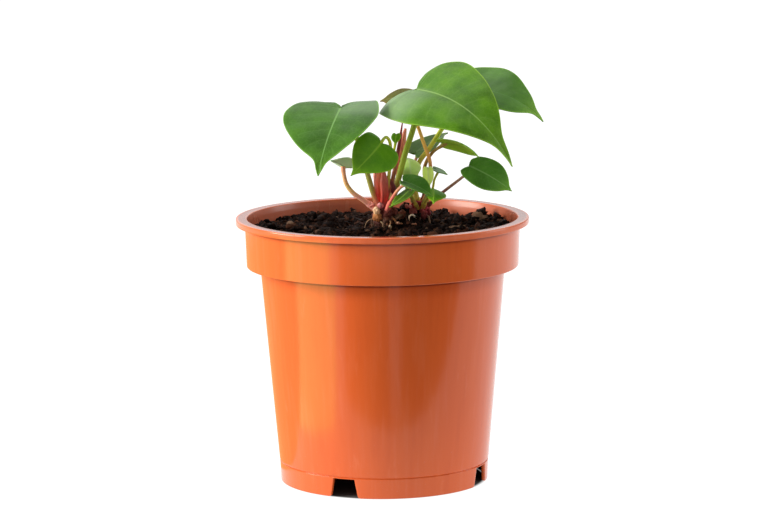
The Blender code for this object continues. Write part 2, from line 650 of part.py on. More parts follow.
def blade_mesh(leaf):
    """The blade's middle surface: a grid whose rows run from the notch round to the tip."""
    outline = smooth_line([Vector(point) for point in BLADE_OUTLINE], OUTLINE_CURVE_STEPS)
    bm = bmesh.new()
    bmesh.ops.create_grid(bm, x_segments=leaf.columns, y_segments=leaf.rows, size=1.0)
    for vert in bm.verts:
        share, place = vert.co.x, (vert.co.y + 1) / 2
        spot = place * (len(outline) - 1)
        first = min(int(spot), len(outline) - 2)
        edge = outline[first].lerp(outline[first + 1], spot - first)
        vert.co = placed(leaf, blade_point(leaf, (place, edge), abs(share), int(share > 0)))
    bmesh.ops.remove_doubles(bm, verts=bm.verts, dist=BLADE_MERGE * MM)
    bmesh.ops.triangulate(bm, faces=bm.faces)
    return mesh_of(bm, leaf.name, closed=False)


def thicken(obj, thickness):
    """Gives a surface its thickness, half to each side."""
    solidify = obj.modifiers.new("Thickness", "SOLIDIFY")
    solidify.thickness = thickness * MM
    solidify.offset = 0.0


def make_leaves(parts, cutters):
    """The blades, and thicker copies of them that trim the stalks."""
    for leaf in LEAVES:
        mesh = blade_mesh(leaf)
        trim = add_cutter(leaf.name + "_trim", mesh.copy(), cutters)
        thicken(trim, BLADE_THICKNESS + 2 * GAP)
        thicken(add_object(leaf.name, mesh, parts, leaf.colour, 0.45), BLADE_THICKNESS)


def make_stalks(parts, cutters):
    """The free stretches of the stalks and sheaths, each trimmed where it meets its blade."""
    for stalk in STALKS:
        mesh = tube_mesh(stalk.name, stalk_lines(stalk)[1], stalk.radii)
        obj = add_object(stalk.name, mesh, parts, stalk.colour, 0.5)
        leaf = leaf_of(stalk)
        if leaf:
            cut_away(obj, cutters.objects[leaf.name + "_trim"], "MANIFOLD")


def main():
    """Builds the whole plant in an emptied scene."""
    for obj in list(bpy.data.objects):
        bpy.data.objects.remove(obj)
    parts = bpy.data.collections.new("potted_anthurium")
    cutters = bpy.data.collections.new("cutters")
    bpy.context.scene.collection.children.link(parts)
    bpy.context.scene.collection.children.link(cutters)
    make_pot(parts, cutters)
    make_soil(parts, cutters)
    make_crowns(parts)
    make_leaves(parts, cutters)
    make_stalks(parts, cutters)


main()
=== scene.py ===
"""Dresses a young anthurium in its nursery pot with fine meshes and procedural finishes.

Lengths are millimetres and angles are degrees unless a name says otherwise. Places on the plant are
(right, away, up), seen from the plant's front, which stands 22.5 degrees round from -Y.
"""

from __future__ import annotations

import sys
import logging
import math
import random
from dataclasses import dataclass, field
from enum import Enum
from functools import partialmethod
from typing import Iterable, Sequence

import bmesh
import bpy
from mathutils import Matrix, Vector, noise


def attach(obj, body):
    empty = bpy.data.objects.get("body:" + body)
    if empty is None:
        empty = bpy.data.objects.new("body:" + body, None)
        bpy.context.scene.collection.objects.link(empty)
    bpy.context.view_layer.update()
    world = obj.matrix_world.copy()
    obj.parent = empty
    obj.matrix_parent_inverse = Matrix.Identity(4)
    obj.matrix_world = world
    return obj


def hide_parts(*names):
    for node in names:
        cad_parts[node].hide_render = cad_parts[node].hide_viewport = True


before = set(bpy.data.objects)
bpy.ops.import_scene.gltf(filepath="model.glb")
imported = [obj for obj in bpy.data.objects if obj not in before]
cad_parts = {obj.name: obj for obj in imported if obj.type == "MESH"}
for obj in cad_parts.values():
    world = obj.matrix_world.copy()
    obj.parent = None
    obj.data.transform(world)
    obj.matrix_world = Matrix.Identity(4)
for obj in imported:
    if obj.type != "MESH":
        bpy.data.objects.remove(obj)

LOG = logging.getLogger("anthurium")
MM = 0.001
FRONT_TURN = 22.5
FRONT = Matrix.Rotation(math.radians(FRONT_TURN), 3, "Z")
ROOT = "root"
MERGE = 0.001 * MM

# A blade's side veins: how many each half has, how far they sweep to the tip, and how far the halves differ
VEIN_COUNT = 11.5
VEIN_SWEEP = 0.055
VEIN_SHIFT = 0.2

Colour = tuple[float, float, float]
Place = tuple[float, float, float]
Pair = tuple[float, float]
Line = Sequence[Vector]
Mesh = bmesh.types.BMesh
Material = bpy.types.Material


class Slot(Enum):
    """The record's material slots, one of which each leaf and stalk finish names."""

    POT = "pot"
    SOIL = "soil"
    CROWN = "crown"
    LEAF_DEEP = "leaf_deep"
    LEAF_FRESH = "leaf_fresh"
    LEAF_GREY = "leaf_grey"
    LEAF_PALE = "leaf_pale"
    LEAF_BRONZE = "leaf_bronze"
    STALK_GREEN = "stalk_green"
    STALK_TAN = "stalk_tan"
    STALK_ROSE = "stalk_rose"
    STALK_BROWN = "stalk_brown"


# Shapes


def seen(place: Sequence[float]) -> Vector:
    """A (right, away, up) place in millimetres, as a point in metres in the part's own frame."""
    return FRONT @ Vector(place) * MM


def smooth_line(points: Sequence[Vector], steps: int) -> list[Vector]:
    """Runs a Catmull-Rom curve through points.

    Args:
        points: the points that the curve passes through.
        steps: how many pieces each stretch between two of them gets.

    Returns:
        The points of the curve.
    """
    ends = [2 * points[0] - points[1], *points, 2 * points[-1] - points[-2]]
    line = []
    for before, start, end, after in zip(ends, ends[1:], ends[2:], ends[3:]):
        for step in range(steps):
            t = step / steps
            line.append(0.5 * (2 * start + (end - before) * t
                               + (2 * before - 5 * start + 4 * end - after) * t * t
                               + (3 * start - before - 3 * end + after) * t ** 3))
    return line + [points[-1].copy()]


def line_length(line: Line) -> float:
    """The length of a line of points."""
    return sum((end - start).length for start, end in zip(line, line[1:]))


def along(line: Line, distance: float) -> Vector:
    """The point at a distance along a line of points."""
    for start, end in zip(line, line[1:]):
        length = (end - start).length
        if distance <= length:
            return start.lerp(end, max(0.0, distance) / length)
        distance -= length
    return line[-1].copy()


def shares(line: Line) -> list[float]:
    """The share of the way along, from 0 to 1, at each point of an evenly stepped line."""
    return [index / (len(line) - 1) for index in range(len(line))]


def stretch_of(line: Line, start: float, end: float, step: float) -> list[Vector]:
    """Evenly spaced points on part of a line.

    Args:
        line: the whole line.
        start: distance along it where the stretch begins.
        end: distance along it where the stretch ends.
        step: about how far the points stand apart.

    Returns:
        The points of the stretch.
    """
    end = min(end, line_length(line))
    count = max(3, round((end - start) / step))
    return [along(line, start + (end - start) * index / count) for index in range(count + 1)]


def frames_along(line: Line) -> list[Matrix]:
    """Frames that follow a line without twisting, each with its Z axis along the line."""
    frames = []
    side = None
    for index, point in enumerate(line):
        ahead = (line[min(index + 1, len(line) - 1)] - line[max(index - 1, 0)]).normalized()
        side = ahead.orthogonal() if side is None else side
        side = (side - ahead * side.dot(ahead)).normalized()
        turned = Matrix((side, ahead.cross(side), ahead)).transposed().to_4x4()
        turned.translation = point
        frames.append(turned)
    return frames


def swept(line: Line, radii: Sequence[float], sides: int, oval: float = 1.0) -> Mesh:
    """Draws a closed tube along a line by extruding a ring.

    Args:
        line: the middle of the tube, in metres.
        radii: the tube's radius at each point, in millimetres.
        sides: how many sides the ring has.
        oval: how flat the ring is.

    Returns:
        A bmesh whose points carry "stalk", the direction round the tube and the distance along it in
        millimetres, and "grow", the share of the way along.
    """
    bm = bmesh.new()
    stalk = bm.verts.layers.float_vector.new("stalk")
    grow = bm.verts.layers.float.new("grow")
    steps = [turned @ Matrix.Diagonal((radius * MM, radius * MM * oval, 1, 1))
             for turned, radius in zip(frames_along(line), radii)]
    ring = bmesh.ops.create_circle(bm, segments=sides, radius=1.0)["verts"]
    for vert in ring:
        vert[stalk] = (vert.co.x, vert.co.y, 0.0)
    edges = bm.edges[:]
    bmesh.ops.transform(bm, matrix=steps[0], verts=ring)
    travelled = 0.0
    for index, (before, after) in enumerate(zip(steps, steps[1:]), 1):
        made = bmesh.ops.extrude_edge_only(bm, edges=edges)["geom"]
        ring = [item for item in made if isinstance(item, bmesh.types.BMVert)]
        inside = set(ring)
        edges = [item for item in made
                 if isinstance(item, bmesh.types.BMEdge) and inside.issuperset(item.verts)]
        travelled += (line[index] - line[index - 1]).length / MM
        for vert in ring:
            vert[stalk] = (vert[stalk].x, vert[stalk].y, travelled)
            vert[grow] = index / (len(line) - 1)
        bmesh.ops.transform(bm, matrix=after @ before.inverted(), verts=ring)
    bmesh.ops.holes_fill(bm, edges=bm.edges, sides=0)
    bmesh.ops.recalc_face_normals(bm, faces=bm.faces)
    return bm


def spun(section: Iterable[Pair], sides: int) -> Mesh:
    """Turns a section of (radius, height) points once round the pot's axis."""
    bm = bmesh.new()
    verts = [bm.verts.new((radius * MM, 0.0, height * MM)) for radius, height in section]
    edges = [bm.edges.new(pair) for pair in zip(verts, verts[1:])]
    bmesh.ops.spin(bm, geom=verts + edges, axis=(0, 0, 1), cent=(0, 0, 0), angle=math.tau, steps=sides,
                   use_merge=True)
    bmesh.ops.remove_doubles(bm, verts=bm.verts, dist=MERGE)
    return bm


def gather(parts: Iterable[Mesh], name: str) -> Mesh:
    """Puts several bmeshes into one and frees them."""
    whole = bmesh.new()
    for part in parts:
        mesh = bpy.data.meshes.new(name)
        part.to_mesh(mesh)
        part.free()
        whole.from_mesh(mesh)
        bpy.data.meshes.remove(mesh)
    return whole


def lump(heart: Vector, radii: Place, rough: float, grain: float, fineness: int, seed: float) -> Mesh:
    """An uneven egg.

    Args:
        heart: its centre, in metres.
        radii: its half sizes to the right, away and up.
        rough: how far its surface goes in and out.
        grain: size of the unevenness.
        fineness: how often the ball is subdivided.
        seed: where in the noise the unevenness is read.

    Returns:
        The bmesh.
    """
    bm = bmesh.new()
    bmesh.ops.create_icosphere(bm, subdivisions=fineness, radius=1.0)
    for vert in bm.verts:
        way = vert.co.normalized()
        size = Vector((way.x * radii[0], way.y * radii[1], way.z * radii[2]))
        bump = noise.fractal(size / grain + Vector((seed, seed, seed)), 1.0, 2.0, 3)
        vert.co = heart + FRONT @ (size + way * bump * rough) * MM
    return bm


def stained(bm: Mesh, value: float) -> Mesh:
    """Gives all of a bmesh's points one "tint"."""
    tint = bm.verts.layers.float.new("tint")
    for vert in bm.verts:
        vert[tint] = value
    return bm


def tinted(bm: Mesh, low: Colour, high: Colour, axis: str = "") -> Mesh:
    """Gives a bmesh's points a "skin" colour.

    Args:
        bm: the bmesh.
        low: colour at the foot.
        high: colour at the head.
        axis: "grow" blends along a tube, and otherwise the blend goes by height.

    Returns:
        The same bmesh.
    """
    skin = bm.verts.layers.float_vector.new("skin")
    grow = bm.verts.layers.float.get("grow") if axis == "grow" else None
    bottom = min(vert.co.z for vert in bm.verts)
    height = max(vert.co.z for vert in bm.verts) - bottom
    for vert in bm.verts:
        share = vert[grow] if grow else (vert.co.z - bottom) / height
        vert[skin] = Vector(low).lerp(Vector(high), share)
    return bm


def add_piece(name: str, bm: Mesh, materials: Sequence[Material],
              nodes: Sequence[str] = (), sharp: float = 50.0) -> bpy.types.Object:
    """Ends a bmesh as a piece that rides on the part.

    Args:
        name: the piece's name.
        bm: its shape, in metres in the part's frame.
        materials: its finishes.
        nodes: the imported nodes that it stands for.
        sharp: edges that turn more than this stay sharp.

    Returns:
        The new object.
    """
    mesh = bpy.data.meshes.new(name)
    bm.to_mesh(mesh)
    bm.free()
    mesh.shade_smooth()
    mesh.set_sharp_from_angle(angle=math.radians(sharp))
    for material in materials:
        mesh.materials.append(material)
    piece = bpy.data.objects.new(name, mesh)
    bpy.context.scene.collection.objects.link(piece)
    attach(piece, ROOT)
    if nodes:
        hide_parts(*nodes)
    LOG.info("%s: %d faces", name, len(mesh.polygons))
    return piece


# Shaders


class Wire:
    """A value inside a shader. Arithmetic on it adds Math nodes."""

    def __init__(self, paint: Paint, socket: bpy.types.NodeSocket) -> None:
        """Keeps the paint that the value belongs to and the socket that gives it."""
        self.paint = paint
        self.socket = socket

    def math(self, operation: str, *others: Value) -> Wire:
        """A Math node on this value and others."""
        return self.paint.node("Math", {"operation": operation}, dict(enumerate((self, *others))))

    __add__ = __radd__ = partialmethod(math, "ADD")
    __mul__ = __rmul__ = partialmethod(math, "MULTIPLY")
    __sub__ = partialmethod(math, "SUBTRACT")
    __truediv__ = partialmethod(math, "DIVIDE")
    __abs__ = partialmethod(math, "ABSOLUTE")

    def __rsub__(self, other: Value) -> Wire:
        """Another value less this one."""
        return (self * -1.0).math("ADD", other)

    def between(self, low: Value, high: Value) -> Wire:
        """0 below one value, 1 above another, and a smooth step from one to the other."""
        return self.paint.node("MapRange", {"interpolation_type": "SMOOTHSTEP"},
                               {"Value": self, "From Min": low, "From Max": high})


Value = float | Wire
Shade = Colour | Wire


class Paint:
    """A material while its nodes are being put together."""

    def __init__(self, name: str) -> None:
        """Starts a material with one Principled BSDF."""
        self.material = bpy.data.materials.new(name)
        self.material.use_nodes = True
        self.tree = self.material.node_tree
        self.shader = self.tree.nodes["Principled BSDF"]
        self.place = self.node("TexCoord", {}, {}, "Object")

    def node(self, kind: str, settings: dict, inputs: dict, output: int | str = 0) -> Wire:
        """Adds a node.

        Args:
            kind: the node's type without its "ShaderNode".
            settings: its own settings, where "stops" are a colour ramp's places and colours.
            inputs: values or wires for its sockets, by name or number.
            output: the socket to read.

        Returns:
            The output as a wire.
        """
        node = self.tree.nodes.new("ShaderNode" + kind)
        for key, value in settings.items():
            if key == "stops":
                stops = node.color_ramp.elements
                while len(stops) < len(value):
                    stops.new(1.0)
                for stop, (place, colour) in zip(stops, value):
                    stop.position = place
                    stop.color = (*colour, 1.0)
            else:
                setattr(node, key, value)
        for key, value in inputs.items():
            self.feed(node.inputs[key], value)
        return Wire(self, node.outputs[output])

    def feed(self, socket: bpy.types.NodeSocket, value: Value | Shade) -> None:
        """Links a wire to a socket, or sets the socket to a value."""
        if isinstance(value, Wire):
            self.tree.links.new(value.socket, socket)
        elif isinstance(value, tuple) and socket.type == "RGBA":
            socket.default_value = (*value, 1.0)
        else:
            socket.default_value = value

    def set(self, **values: Value | Shade) -> Material:
        """Feeds the shader's sockets, named with _ for a space, and gives the material."""
        for key, value in values.items():
            self.feed(self.shader.inputs[key.replace("_", " ")], value)
        return self.material

    def axes(self, vector: Wire) -> tuple[Wire, Wire, Wire]:
        """The three numbers of a vector."""
        return tuple(self.node("SeparateXYZ", {}, {0: vector}, axis) for axis in "XYZ")

    def attribute(self, name: str) -> Wire:
        """A point attribute of three numbers."""
        return self.node("Attribute", {"attribute_name": name}, {}, "Vector")

    def share(self, name: str) -> Wire:
        """A point attribute of one number."""
        return self.node("Attribute", {"attribute_name": name}, {}, "Fac")

    def point(self, x: Value, y: Value, z: Value) -> Wire:
        """A vector of three values."""
        return self.node("CombineXYZ", {}, {0: x, 1: y, 2: z})

    def noise(self, size: float, detail: float = 3.0, rough: float = 0.5, place: Wire | None = None,
              unit: float = MM) -> Wire:
        """Noise from 0 to 1.

        Args:
            size: about how large its patches are.
            detail: how many finer layers it has.
            rough: how strong those are.
            place: where it is read, or nothing for the piece's own coordinates.
            unit: how many of the coordinates' units make one of the size's.

        Returns:
            The noise.
        """
        return self.node("TexNoise", {}, {
            "Vector": place or self.place, "Scale": 1.0 / (size * unit), "Detail": detail, "Roughness": rough,
        })

    def cells(self, size: float) -> Wire:
        """Distance to the nearest border in a pattern of cells of about that size."""
        return self.node("TexVoronoi", {"feature": "DISTANCE_TO_EDGE"},
                         {"Vector": self.place, "Scale": 1.0 / (size * MM)}, "Distance")

    def mix(self, share: Value, first: Shade, second: Shade) -> Wire:
        """Blends two colours."""
        return self.node("Mix", {"data_type": "RGBA"}, {0: share, 6: first, 7: second}, 2)

    def bump(self, height: Wire, distance: float, strength: float = 1.0) -> Wire:
        """A normal from a height, whose full range is a distance in millimetres."""
        return self.node("Bump", {},
                         {"Height": height, "Distance": distance * MM, "Strength": strength})


@dataclass(frozen=True)
class PlasticFinish:
    """Moulded, slightly glossy pot plastic with flow marks, fine streaks and scuffs, painted shade under its
    edges and inside its foot, a collar painted lighter and a painted sheen on its inner wall.

    The heights and radii that its shader reads are those of the pot's lip, collar, body and foot.
    """

    name: str
    body: Colour = (0.61, 0.096, 0.02)
    light: Colour = (0.72, 0.14, 0.03)
    roughness: float = 0.15

    def material(self) -> Material:
        """The finish as a material."""
        paint = Paint(self.name)
        x, y, z = paint.axes(paint.place)
        flow = paint.noise(9.0, 3.0, 0.6, paint.point(x, y, z * 0.06))
        cloud = paint.noise(30.0, 2.0)
        rub = paint.noise(2.2, 4.0, 0.65, paint.point(x * 0.35, y * 0.35, z * 0.08))
        scuff = rub.between(0.6, 0.78)
        up = z / MM
        dust = paint.noise(0.5, 2.0).between(0.66, 0.8) * (1.0 - up.between(4.0, 40.0))
        radius = (x * x + y * y).math("SQRT") / MM
        collar = up.between(88.4, 89.2)
        # The collar's share in this mix paints it lighter than the body: painted light that makes up for the
        # leaves' shade on it.
        colour = paint.mix(flow * 0.45 + cloud * 0.3 - 0.1 + collar * 0.22, self.body, self.light)
        fine = paint.noise(3.4, 3.0, 0.55, paint.point(x, y, z * 0.02))
        colour = paint.mix(fine.between(0.5, 0.72) * 0.13, colour, (0.72, 0.2, 0.1))
        colour = paint.mix((1.0 - fine.between(0.28, 0.5)) * 0.13, colour, (0.46, 0.056, 0.014))
        # Painted shade: a dark band under the lip, and below the collar's foot a dark line over a shadow that
        # fades down the body.
        under_lip = up.between(104.3, 105.8) * radius.between(55.8, 56.0) * (1.0 - radius.between(58.6, 59.4))
        under_collar = (up.between(81.0, 88.2) * 0.25 + up.between(86.9, 87.9) * 0.6) * (1.0 - collar)
        # Painted shade: inside the foot, seen through the notches, the plastic is painted almost black.
        in_foot = (1.0 - radius.between(41.3, 41.8)) * (1.0 - up.between(8.1, 8.5))
        shade = (under_lip * 0.75).math("MAXIMUM", under_collar)
        colour = paint.mix(shade, colour, (0.16, 0.02, 0.006))
        colour = paint.mix(in_foot * 0.95, colour, (0.03, 0.006, 0.003))
        colour = paint.mix(scuff * 0.12, colour, (0.85, 0.36, 0.2))
        colour = paint.mix(dust * 0.3, colour, (0.5, 0.33, 0.24))
        # Painted sheen: a pale pinkish colour mixed over the inner wall above the soil stands in for its
        # reflection, and the same mask roughens it a little.
        painted_inner_sheen = (1.0 - radius.between(55.0, 55.9)) * up.between(97.0, 99.0)
        colour = paint.mix(painted_inner_sheen * (0.45 + cloud * 0.4), colour, (0.46, 0.15, 0.1))
        peel = paint.noise(1.3, 2.0)
        rings = paint.noise(5.0, 1.0, 0.5, paint.point(x * 0.02, y * 0.02, z))
        return paint.set(
            Base_Color=colour,
            Roughness=self.roughness + cloud * 0.03 + scuff * 0.08 + painted_inner_sheen * 0.1,
            Normal=paint.bump(peel * 0.25 + rings * 0.6 + flow * 1.2, 0.06, 0.5),
            IOR=1.41,
        )


@dataclass(frozen=True)
class PeatFinish:
    """Moist dark peat with brown fibres and a few pale specks."""

    name: str
    dark: Colour = (0.0072, 0.003, 0.0022)
    brown: Colour = (0.105, 0.036, 0.017)
    pale: Colour = (0.2, 0.12, 0.075)

    def material(self) -> Material:
        """The finish as a material."""
        paint = Paint(self.name)
        tint = paint.share("tint")
        grain = paint.noise(1.6, 5.0, 0.65)
        fine = paint.noise(0.35, 3.0, 0.6)
        colour = paint.mix(grain.between(0.48, 0.78) * 0.7, self.dark, self.brown)
        colour = paint.mix(tint.between(0.62, 0.94) * 0.6, colour, self.brown)
        colour = paint.mix(tint.between(0.94, 0.99) * 0.75, colour, self.pale)
        speck = paint.noise(0.9, 1.0).between(0.76, 0.8)
        colour = paint.mix(speck * 0.5, colour, self.pale)
        wet = paint.noise(3.0, 2.0).between(0.45, 0.7)
        return paint.set(
            Base_Color=colour,
            Roughness=0.86 - wet * 0.36 + fine * 0.1,
            Specular_IOR_Level=0.09,
            Normal=paint.bump(grain + fine * 0.5, 0.9, 0.8),
        )


@dataclass(frozen=True)
class LeafFinish:
    """Skin of a blade: its two greens, veins, rim and underside, and a painted sheen near the stalk."""

    name: str
    slot: Slot
    skin: Colour
    light: Colour
    vein: Colour
    rim: Colour
    under: Colour
    roughness: float = 0.35
    vein_strength: float = 0.5
    tip_glow: float = 0.3
    shine: float = 0.2
    glow: float = 0.12
    # Strength of the painted sheen near the stalk on the left and the right half.
    painted_sheen: Pair = (0.0, 0.0)

    def material(self) -> Material:
        """The finish as a material that reads the blade's "blade" and "rib" attributes."""
        paint = Paint(self.name)
        across, share, place = paint.axes(paint.attribute("blade"))
        reach, side, margin = paint.axes(paint.attribute("rib"))
        upper = side.between(-0.2, 0.2)
        out = abs(share)
        midrib = 1.0 - (abs(across) / (0.66 - reach * 0.42)).between(0.35, 1.0)
        beat = ((place - out * out * VEIN_SWEEP) * VEIN_COUNT + share.math("SIGN") * VEIN_SHIFT).math("FRACT")
        off = abs(beat - 0.5)
        strong = 1.0 - place.between(0.34, 0.42)
        lateral = (1.0 - off.between(0.015, 0.075)) * (1.0 - out.between(0.72, 0.97))
        lateral = lateral * (0.16 + strong * 0.5) * (1.0 - midrib)
        net = 1.0 - paint.cells(1.9).between(0.0, 0.09)
        patches = paint.noise(9.0, 5.0, 0.6)
        mottle = paint.noise(1.1, 3.0, 0.6)
        colour = paint.mix(patches.between(0.3, 0.72), self.skin, self.light)
        colour = paint.mix(mottle * 0.22, colour, self.light)
        shade = tuple(0.55 * part for part in self.skin)
        colour = paint.mix(paint.noise(14.0, 3.0).between(0.48, 0.7) * 0.55, colour, shade)
        colour = paint.mix(off.between(0.1, 0.5) * 0.06, colour, self.skin)
        colour = paint.mix(net * 0.06, colour, self.vein)
        right = share.between(-0.15, 0.15)
        # Painted sheen: a pale grey-green mixed in near the stalk, at each half's own strength.
        painted_sheen = (right * (self.painted_sheen[1] - self.painted_sheen[0]) + self.painted_sheen[0]) * (1.0 - reach.between(0.0, 0.25))
        colour = paint.mix(painted_sheen * (0.7 + patches * 0.6), colour, (0.35, 0.43, 0.34))
        glow = reach.between(0.62, 1.0) * self.tip_glow + (1.0 - margin.between(0.2, 2.2)) * 0.04
        colour = paint.mix(glow, colour, self.rim)
        colour = paint.mix(lateral * 0.62 * self.vein_strength, colour, self.vein)
        colour = paint.mix(midrib * 0.92 * self.vein_strength, colour, self.vein)
        colour = paint.mix((1.0 - margin.between(0.12, 0.5)) * 0.5, colour, self.rim)
        below = paint.mix(mottle * 0.4, self.under, self.light)
        below = paint.mix((lateral * 0.8 + midrib) * 0.7, below, self.vein)
        quilt = off * 0.35 + mottle * 0.12 - net * 0.08 - lateral * 0.25
        return paint.set(
            Base_Color=paint.mix(upper, below, colour),
            Roughness=self.roughness + mottle * 0.1 + (1.0 - upper) * 0.16 - midrib * 0.04,
            Normal=paint.bump(quilt, 0.18, 0.5),
            Specular_IOR_Level=self.shine,
            Subsurface_Weight=self.glow,
            Subsurface_Radius=(0.8, 1.3, 0.25),
            Subsurface_Scale=MM,
        )


@dataclass(frozen=True)
class StalkFinish:
    """Skin of a stalk: colours at its foot, middle and head, with fine lengthwise streaks."""

    name: str
    slot: Slot
    foot: Colour
    middle: Colour
    head: Colour
    streak: Colour
    turns: Pair = (0.3, 0.55)

    def material(self) -> Material:
        """The finish as a material that reads the tube's "stalk" and "grow" attributes."""
        paint = Paint(self.name)
        right, back, distance = paint.axes(paint.attribute("stalk"))
        grow = paint.share("grow")
        streaks = paint.noise(0.45, 3.0, 0.6, paint.point(right, back, distance * 0.09), 1.0)
        spots = paint.noise(0.55, 2.0, 0.5)
        blotch = paint.noise(2.6, 2.0)
        colour = paint.node("ValToRGB", {
            "stops": ((0.0, self.foot), (self.turns[0], self.foot), (self.turns[1], self.middle),
                      (0.92, self.head)),
        }, {0: grow + (blotch - 0.5) * 0.25})
        colour = paint.mix(streaks.between(0.45, 0.75) * 0.55, colour, self.streak)
        colour = paint.mix(spots.between(0.64, 0.78) * 0.25, colour, self.streak)
        return paint.set(
            Base_Color=colour,
            Roughness=0.38 + streaks * 0.15,
            Specular_IOR_Level=0.3,
            Normal=paint.bump(streaks + spots * 0.3, 0.1, 0.6),
            Subsurface_Weight=0.12,
            Subsurface_Radius=(1.0, 0.8, 0.3),
            Subsurface_Scale=MM,
        )


@dataclass(frozen=True)
class BarkFinish:
    """Crown tissue: the skin colour of each part, stained and grained."""

    name: str
    stain: Colour = (0.035, 0.016, 0.01)

    def material(self) -> Material:
        """The finish as a material that reads the "skin" attribute."""
        paint = Paint(self.name)
        skin = paint.attribute("skin")
        x, y, z = paint.axes(paint.place)
        grain = paint.noise(1.1, 4.0, 0.65, paint.point(x, y, z * 0.35))
        fine = paint.noise(0.4, 3.0, 0.6)
        low = 1.0 - (z / MM).between(103.0, 109.5)
        stain = (grain.between(0.48, 0.7) * 0.55 + low * fine.between(0.3, 0.6) * 0.55).math("MINIMUM", 0.9)
        return paint.set(
            Base_Color=paint.mix(stain, skin, self.stain),
            Roughness=0.5 + grain * 0.3,
            Specular_IOR_Level=0.25,
            Normal=paint.bump(grain + fine * 0.35, 0.45, 0.8),
            Subsurface_Weight=0.08,
            Subsurface_Radius=(1.0, 0.5, 0.3),
            Subsurface_Scale=MM,
        )


# The pot


